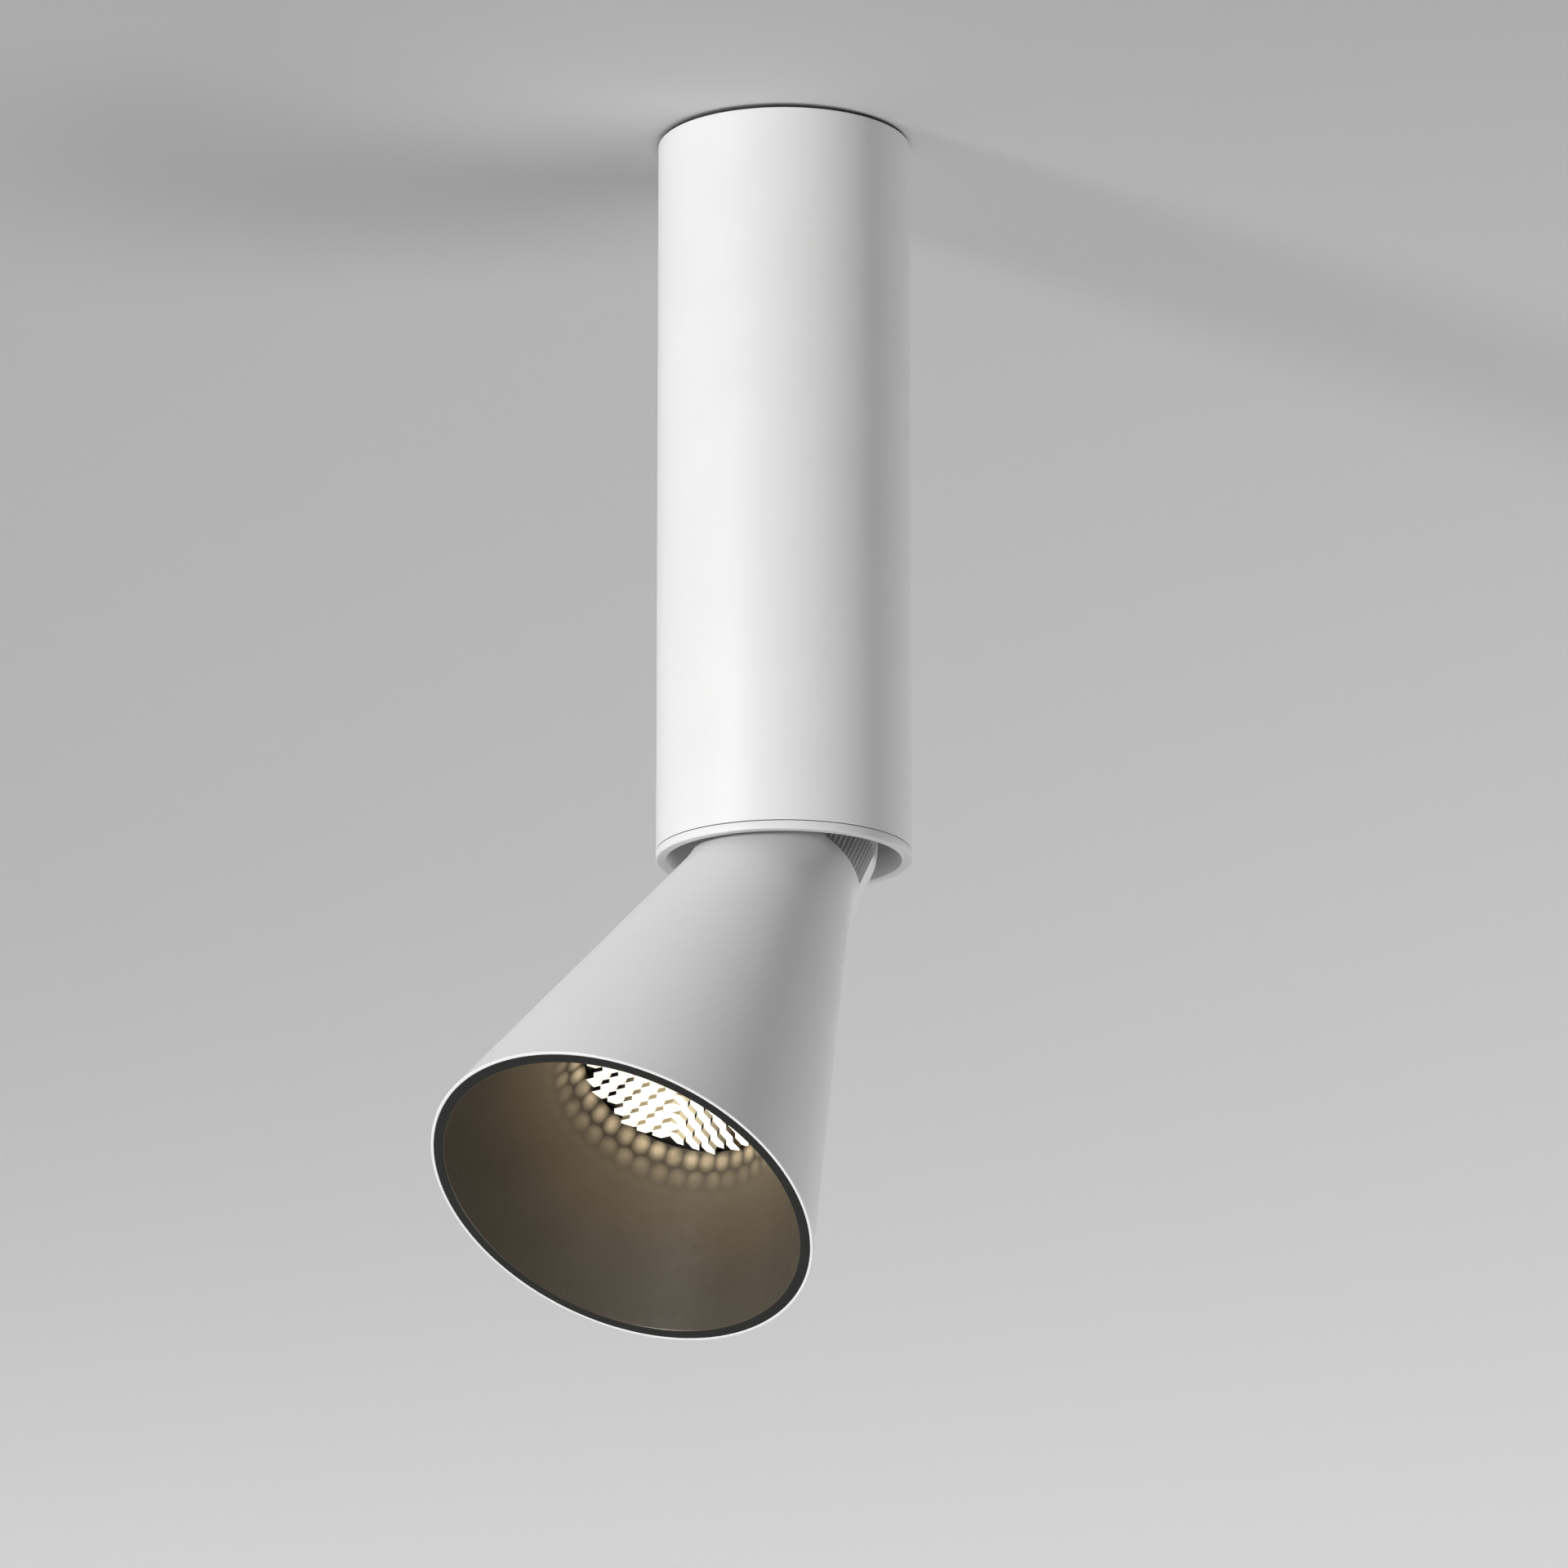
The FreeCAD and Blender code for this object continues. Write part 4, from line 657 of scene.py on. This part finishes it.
def slot_wedge():
    """The room that the swivel's tongue needs in the neck while the head tilts."""
    limit = math.radians(TILT_LIMIT)
    sides = [
        (SLOT_HALF, 0), (SLOT_HALF, SLOT_REACH),
        (-SLOT_REACH * math.sin(limit) - SLOT_HALF * math.cos(limit),
         SLOT_REACH * math.cos(limit) - SLOT_HALF * math.sin(limit)),
        (-SLOT_HALF * math.cos(limit), -SLOT_HALF * math.sin(limit))]
    shape = bmesh.new()
    ends = [[shape.verts.new(on_head(x, y, z)) for y, z in sides] for x in (-SLOT_HALF, SLOT_HALF)]
    shape.faces.new(ends[0])
    shape.faces.new(ends[1][::-1])
    for k in range(len(sides)):
        n = (k + 1) % len(sides)
        shape.faces.new((ends[0][k], ends[1][k], ends[1][n], ends[0][n]))
    bmesh.ops.recalc_face_normals(shape, faces=shape.faces)
    return mesh_object("slot_cutter", shape)


def make_neck_cap():
    shape = bmesh.new()
    swept_ring(shape, neck_outline(), ON_HEAD, NECK_TURN_STEPS, neck_radius)
    piece = finished("ribbed_neck_cap", shape, [white_paint, groove_painted_shade], "lamp_head", sharp_deg=50)
    # The floors of the grooves take the darker paint, which is painted shade in the recesses.
    groove_floor = NECK_R - RIB_DEPTH - GROOVE_PLAY
    paint_faces(piece, ON_HEAD, 1,
                lambda radius, height: groove_floor < radius < NECK_R - GROOVE_TONE and height < DOME_RISE)
    cut(piece, slot_wedge())
    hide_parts("neck_cap")


# ---------- Cone shell and baffle, in millimetres ----------

CONE_BASE = 17.1
CONE_GROWTH = 0.26
COLLAR_R = 20.25
COLLAR_TOP = 3.76
BLEND_R = 39.0
BLEND_STEPS = 14
SHELL_WALL = 1.5
SHELL_BORE_END = 14.3
RIM_FACE = 0.78
RIM_PLAY = 0.12
LIP_T = 1.2
LEDGE = (42.7, 45.7, 22.5)
BAFFLE_LIP_T = 1.15
HOLDER_FACE = 72.8
HOLDER_OUTER = 25.95


def cone_r(drop):
    return CONE_BASE + CONE_GROWTH * drop


def shell_skin():
    """The shell's outside from the collar to the mouth, as (radius, height) pairs."""
    slope = math.atan(CONE_GROWTH)
    reach = BLEND_R * math.tan(slope / 2)
    corner = (COLLAR_R - CONE_BASE) / CONE_GROWTH
    points = [(COLLAR_R, -COLLAR_TOP)]
    for k in range(BLEND_STEPS + 1):
        angle = slope * k / BLEND_STEPS
        drop = corner - reach + BLEND_R * math.sin(angle)
        points.append((COLLAR_R + BLEND_R * (1 - math.cos(angle)), -drop))
    points.append((cone_r(HEAD_DROP), -HEAD_DROP))
    return points


def make_head_shell():
    skin = shell_skin()
    thick = SHELL_WALL * math.hypot(1, CONE_GROWTH)
    bore = SPIGOT_R + SPIGOT_PLAY
    lip_drop = HEAD_DROP - LIP_T
    high, low, ledge_bore = LEDGE
    inside = [
        (cone_r(HEAD_DROP) - RIM_FACE, -HEAD_DROP), (cone_r(lip_drop) - RIM_FACE, -lip_drop),
        (cone_r(lip_drop) - thick, -lip_drop), (cone_r(low) - thick, -low), (ledge_bore, -low),
        (ledge_bore, -high), (cone_r(high) - thick, -high), (cone_r(SHELL_BORE_END) - thick, -SHELL_BORE_END),
        (bore, -SHELL_BORE_END), (bore, -COLLAR_TOP)]
    radii = [0.18] + [0] * (len(skin) - 2) + [0.22, 0.12] + [0] * (len(inside) - 2) + [0.1]
    piece = turned_piece("white_cone_shell", eased(skin + inside, radii), ON_HEAD, [white_paint, rim_painted_highlight],
                         "lamp_head", sharp_deg=35)
    # The rim face takes the lighter paint, which is a painted highlight.
    paint_faces(piece, ON_HEAD, 1, lambda radius, height: height < -HEAD_DROP + RIM_PLAY)
    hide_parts("head_shell")


def make_baffle():
    """The black cone and its flat lip in the shell's mouth."""
    end_r = BAFFLE_MOUTH - BAFFLE_GROWTH * (HEAD_DROP - BAFFLE_END)
    skin = BAFFLE_WALL * math.hypot(1, BAFFLE_GROWTH)
    lip_r = cone_r(HEAD_DROP) - RIM_FACE - SPIGOT_PLAY
    back = HEAD_DROP - BAFFLE_LIP_T
    back_r = cone_r(back) - RIM_FACE - SPIGOT_PLAY
    cone_back = end_r + skin + BAFFLE_GROWTH * (back - BAFFLE_END)
    points = [
        (BAFFLE_MOUTH, -HEAD_DROP), (lip_r, -HEAD_DROP), (back_r, -back), (cone_back, -back),
        (HOLDER_OUTER, -BAFFLE_END - (HOLDER_OUTER - end_r - skin) / BAFFLE_GROWTH),
        (HOLDER_OUTER, -HOLDER_FACE), (end_r, -HOLDER_FACE), (end_r, -BAFFLE_END)]
    outline = eased(points, [0.35, 0.08, 0, 0, 0, 0, 0, 0], steps=9)
    piece = turned_piece("black_baffle", outline, ON_HEAD, [baffle_black_painted_light, black_lip_and_seam_shade], "lamp_head",
                         sharp_deg=18)
    paint_faces(piece, ON_HEAD, 1, lambda radius, height:
                radius > BAFFLE_MOUTH + RIM_PLAY or height > -BAFFLE_END - FACE_PLAY)
    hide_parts("anti_glare_baffle")


# ---------- Lens, in millimetres ----------

LENS_FLANGE = 24.4
LENS_FACE = 72.7
LENS_FOOT = (9.5, 54.0)
LENS_SHOULDER = (23.3, 71.2)
LENS_WELL = (8.3, 60.0)
LENS_BELLY = 0.09
LENS_SIDE_STEPS = 10
LENS_TURN_STEPS = 144
AXIS_HOLE = 0.05
LATTICE = (1.47, 0.35)
CELL_PITCH = 3.85
CELL_TURN = 35.7
CELL_GAP = 0.06
CELL_HEIGHT = 1.3
CELL_ROOT = 0.05
CELL_STEP = 1.4
CELL_LEAN = 120
CELL_REACH = 22.2
CELL_TRIM = 22.9
TRIM_SIDES = 120
CELL_EASE = 0.07
CELL_TOP_SHARE = 0.96
LIT_TOP, SIDE_IN_PAINTED_SHADE, SIDE_PAINTED_LEFT_LIGHT, SIDE_PAINTED_RIGHT_LIGHT, GROUND = range(5)
# Each wall takes its finish by the way it faces: painted shade, or painted light from the left or the right.
SIDE_SLOTS = (SIDE_PAINTED_RIGHT_LIGHT, SIDE_IN_PAINTED_SHADE, SIDE_PAINTED_LEFT_LIGHT, SIDE_PAINTED_LEFT_LIGHT, SIDE_PAINTED_RIGHT_LIGHT, SIDE_IN_PAINTED_SHADE)


def cell_lean(h, m):
    """The cells lean one way in one half of the lens and the mirrored way in the other."""
    divide = CELL_TURN + 90
    past = (math.degrees(math.atan2(m, h)) - divide) % 360 < 180
    return math.radians(divide + (CELL_LEAN if past else -CELL_LEAN))


def cell_places():
    """The middles of the cells on a lattice of equal triangles."""
    turn = math.radians(CELL_TURN)
    count = int(2 * CELL_REACH / CELL_PITCH) + 2
    for i in range(-count, count + 1):
        for j in range(-count, count + 1):
            u = CELL_PITCH * (i + j / 2)
            v = CELL_PITCH * j * math.sqrt(3) / 2
            h = LATTICE[0] + u * math.cos(turn) - v * math.sin(turn)
            m = LATTICE[1] + u * math.sin(turn) + v * math.cos(turn)
            if math.hypot(h, m) <= CELL_REACH:
                yield h, m


def trimmed(corners):
    """Cuts a cell's outline back to the lens's clear circle."""
    for k in range(TRIM_SIDES):
        angle = 2 * math.pi * k / TRIM_SIDES
        way = Vector((math.cos(angle), math.sin(angle)))
        kept = []
        for i, corner in enumerate(corners):
            before = corners[i - 1]
            here = corner.dot(way) - CELL_TRIM
            there = before.dot(way) - CELL_TRIM
            if (here > 0) != (there > 0):
                kept.append(before.lerp(corner, there / (there - here)))
            if here <= 0:
                kept.append(corner)
        corners = kept
    return corners


def add_cell(shape, h, m):
    """One hexagonal cell with a leaning, slightly eased top."""
    radius = (CELL_PITCH - CELL_GAP) / math.sqrt(3)
    lean_way = cell_lean(h, m)
    slope = CELL_STEP / (CELL_PITCH * math.cos(math.radians(30)))
    middle = Vector((h, m))
    corners = []
    for k in range(6):
        angle = math.radians(CELL_TURN + 30 + 60 * k)
        corners.append(middle + Vector((math.cos(angle), math.sin(angle))) * radius)
    corners = trimmed(corners)
    foot = [shape.verts.new(on_head(*corner, -LENS_FACE + CELL_ROOT)) for corner in corners]
    edge, top = [], []
    for ring, share, sink in ((edge, 1, CELL_EASE), (top, CELL_TOP_SHARE, 0)):
        for corner in corners:
            off = (corner - middle) * share
            rise = CELL_HEIGHT - sink + slope * (off.x * math.cos(lean_way) + off.y * math.sin(lean_way))
            ring.append(shape.verts.new(on_head(*(middle + off), -LENS_FACE - rise)))
    shape.faces.new(foot).material_index = SIDE_IN_PAINTED_SHADE
    shape.faces.new(top).material_index = LIT_TOP
    for k in range(len(corners)):
        n = (k + 1) % len(corners)
        way = (corners[k] + corners[n]) / 2 - middle
        facing = math.degrees(math.atan2(way.y, way.x)) - CELL_TURN - 30
        wall = shape.faces.new((foot[k], foot[n], edge[n], edge[k]))
        wall.material_index = SIDE_SLOTS[int(facing % 360 // 60)]
        shape.faces.new((edge[k], edge[n], top[n], top[k])).material_index = LIT_TOP


def make_lens():
    shape = bmesh.new()
    rise = LENS_SHOULDER[1] - LENS_FOOT[1]
    wide = LENS_SHOULDER[0] - LENS_FOOT[0]
    outline = []
    for k in range(LENS_SIDE_STEPS + 1):
        share = k / LENS_SIDE_STEPS
        belly = 4 * LENS_BELLY * share * (1 - share)
        height = -(LENS_FOOT[1] + rise * share) + wide * belly
        outline.append((LENS_FOOT[0] + wide * share + rise * belly, height))
    outline += [(LENS_FLANGE, -LENS_SHOULDER[1]), (LENS_FLANGE, -LENS_FACE), (AXIS_HOLE, -LENS_FACE),
                (AXIS_HOLE, -LENS_WELL[1]), (LENS_WELL[0], -LENS_WELL[1]), (LENS_WELL[0], -LENS_FOOT[1])]
    swept_ring(shape, outline, ON_HEAD, LENS_TURN_STEPS, slot=GROUND)
    for h, m in cell_places():
        add_cell(shape, h, m)
    piece = finished("cell_lens", shape, [cell_light, walls_painted_shade, left_walls_painted_light, right_walls_painted_light, lens_dark],
                     "lamp_head", sharp_deg=20)
    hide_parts("lens")


# ---------- Room, in metres ----------

CEILING_RINGS = (0.0275, 0.1, 1.0, 6.0, 30.0)
CEILING_STEPS = 96
CEILING_GAP = 0.0004
CEILING_FROM = -0.15
CEILING_TO = 2.0
CEILING_BEND = 0.55
# The ceiling's colour runs from its near tone to a lighter far tone: painted light. The glow is a painted
# glow that only the camera sees.
CEILING_NEAR = (0.63, 0.63, 0.63)
CEILING_FAR = (0.94, 0.94, 0.94)
CEILING_PAINTED_GLOW = 0.086
FLOOR_HALF = 0.8
FLOOR_HEIGHT = -3.2
WORLD_LIGHT = 0.272
WORLD_LEAN = 0.18
WORLD_SHOWN = (0.62, 0.62, 0.62)
LAMP_DISTANCE = 2.5
CAMERA_LENS = 215.86
CAMERA_SENSOR = 36.0
CAMERA_PLACE = (0, -2.1312, -0.73066)
CAMERA_RISE = 15.04

# Each lamp's name, its side and its rise in degrees, its strength and its spread in degrees.
LAMPS = [
    ("left_front_light", -46, 5, 2.52, 12),
    ("right_low_light", 60, 67, 0.9, 28),
    ("right_back_light", 132, 3, 0.78, 12),
]


def staged_sheet(name, shape, material):
    """A sheet of the room around the light."""
    return mesh_object(name, shape, [material])


def make_ceiling():
    """The ceiling shows from below only; its hole over the bracket lets light in for a look from above. Its
    colour is painted lighter towards the back, and for the camera alone it has a painted glow; both are
    painted light.
    """
    finish = Finish("ceiling_paint_and_painted_light", Roughness=0.9, Emission_Strength=1.0)
    finish.shine(0.0)
    back = finish.along(finish.place(), (0, 1, 0))
    share = finish.spread(back, 0, 1, CEILING_FROM, CEILING_TO) ** CEILING_BEND
    finish.colour(finish.blend_colours(share, CEILING_NEAR, CEILING_FAR))
    # For the camera alone the ceiling gets a painted glow, lighter towards the back.
    seen = finish.node("ShaderNodeLightPath", out="Is Camera Ray")
    finish.glow(seen * (share * CEILING_PAINTED_GLOW))
    side = finish.node("ShaderNodeNewGeometry", out="Backfacing")
    clear = finish.node("ShaderNodeBsdfTransparent")
    surface = Value(finish, finish.shader.outputs[0])
    mixed = finish.node("ShaderNodeMixShader", None, {0: side, 1: surface, 2: clear})
    finish.feed(finish.tree.nodes["Material Output"].inputs["Surface"], mixed)
    shape = bmesh.new()
    angles = [2 * math.pi * k / CEILING_STEPS for k in range(CEILING_STEPS)]
    rings = [[shape.verts.new((reach * math.cos(a), reach * math.sin(a), CEILING_GAP)) for a in angles]
             for reach in CEILING_RINGS]
    for near, far in zip(rings, rings[1:]):
        for k in range(CEILING_STEPS):
            n = (k + 1) % CEILING_STEPS
            shape.faces.new((near[k], near[n], far[n], far[k]))
    staged_sheet("ceiling", shape, finish.material)


def make_floor():
    floor_paint = mottled("pale_floor", (0.66, 0.66, 0.66), (0.64, 0.64, 0.64), (0.8, 0.9), 3, 10)
    shape = bmesh.new()
    corners = [(-FLOOR_HALF, -FLOOR_HALF), (FLOOR_HALF, -FLOOR_HALF), (FLOOR_HALF, FLOOR_HALF),
               (-FLOOR_HALF, FLOOR_HALF)]
    shape.faces.new([shape.verts.new((x, y, FLOOR_HEIGHT)) for x, y in corners])
    staged_sheet("floor", shape, floor_paint)


def sun_lamp(name, side_deg, rise_deg, strength, spread_deg):
    """Far light from side_deg right of the front, travelling upwards by rise_deg."""
    data = bpy.data.lights.new(name, "SUN")
    data.energy = strength
    data.angle = math.radians(spread_deg)
    side = math.radians(side_deg)
    rise = math.radians(rise_deg)
    travel = Vector((-math.sin(side) * math.cos(rise), math.cos(side) * math.cos(rise), math.sin(rise)))
    lamp = bpy.data.objects.new(name, data)
    lamp.location = -travel * LAMP_DISTANCE
    lamp.rotation_euler = travel.to_track_quat("-Z", "Y").to_euler()
    bpy.context.collection.objects.link(lamp)


def make_world():
    """Even soft light, a little weaker from the front right, and plain grey where the camera sees it."""
    world = bpy.data.worlds.new("soft_room")
    world.use_nodes = True
    room = NodeTree(world.node_tree)
    ground = room.tree.nodes["Background"]
    toward = room.node("ShaderNodeTexCoord", out="Generated")
    right = room.along(toward, (math.sqrt(0.5), -math.sqrt(0.5), 0))
    room.feed(ground.inputs["Color"], (1, 1, 1))
    room.feed(ground.inputs["Strength"], right * -WORLD_LEAN + WORLD_LIGHT)
    shown = room.node("ShaderNodeBackground", None, {"Color": WORLD_SHOWN})
    seen = room.node("ShaderNodeLightPath", out="Is Camera Ray")
    through = room.node("ShaderNodeLightPath", out="Is Transmission Ray")
    lit = Value(room, ground.outputs[0])
    mixed = room.node("ShaderNodeMixShader", None, {0: seen.maths("MAXIMUM", through), 1: lit, 2: shown})
    room.feed(room.tree.nodes["World Output"].inputs["Surface"], mixed)
    bpy.context.scene.world = world


def make_camera():
    data = bpy.data.cameras.new("camera")
    data.lens = CAMERA_LENS
    data.sensor_width = CAMERA_SENSOR
    camera = bpy.data.objects.new("camera", data)
    camera.location = CAMERA_PLACE
    camera.rotation_euler = (math.radians(90 + CAMERA_RISE), 0, 0)
    bpy.context.collection.objects.link(camera)
    bpy.context.scene.camera = camera


make_camera()
make_world()
make_ceiling()
make_floor()
for lamp_row in LAMPS:
    sun_lamp(*lamp_row)
make_housing_tube()
make_end_ring()
make_gasket()
make_neck_cap()
make_head_shell()
make_baffle()
make_lens()

bpy.context.scene.view_settings.view_transform = "Standard"
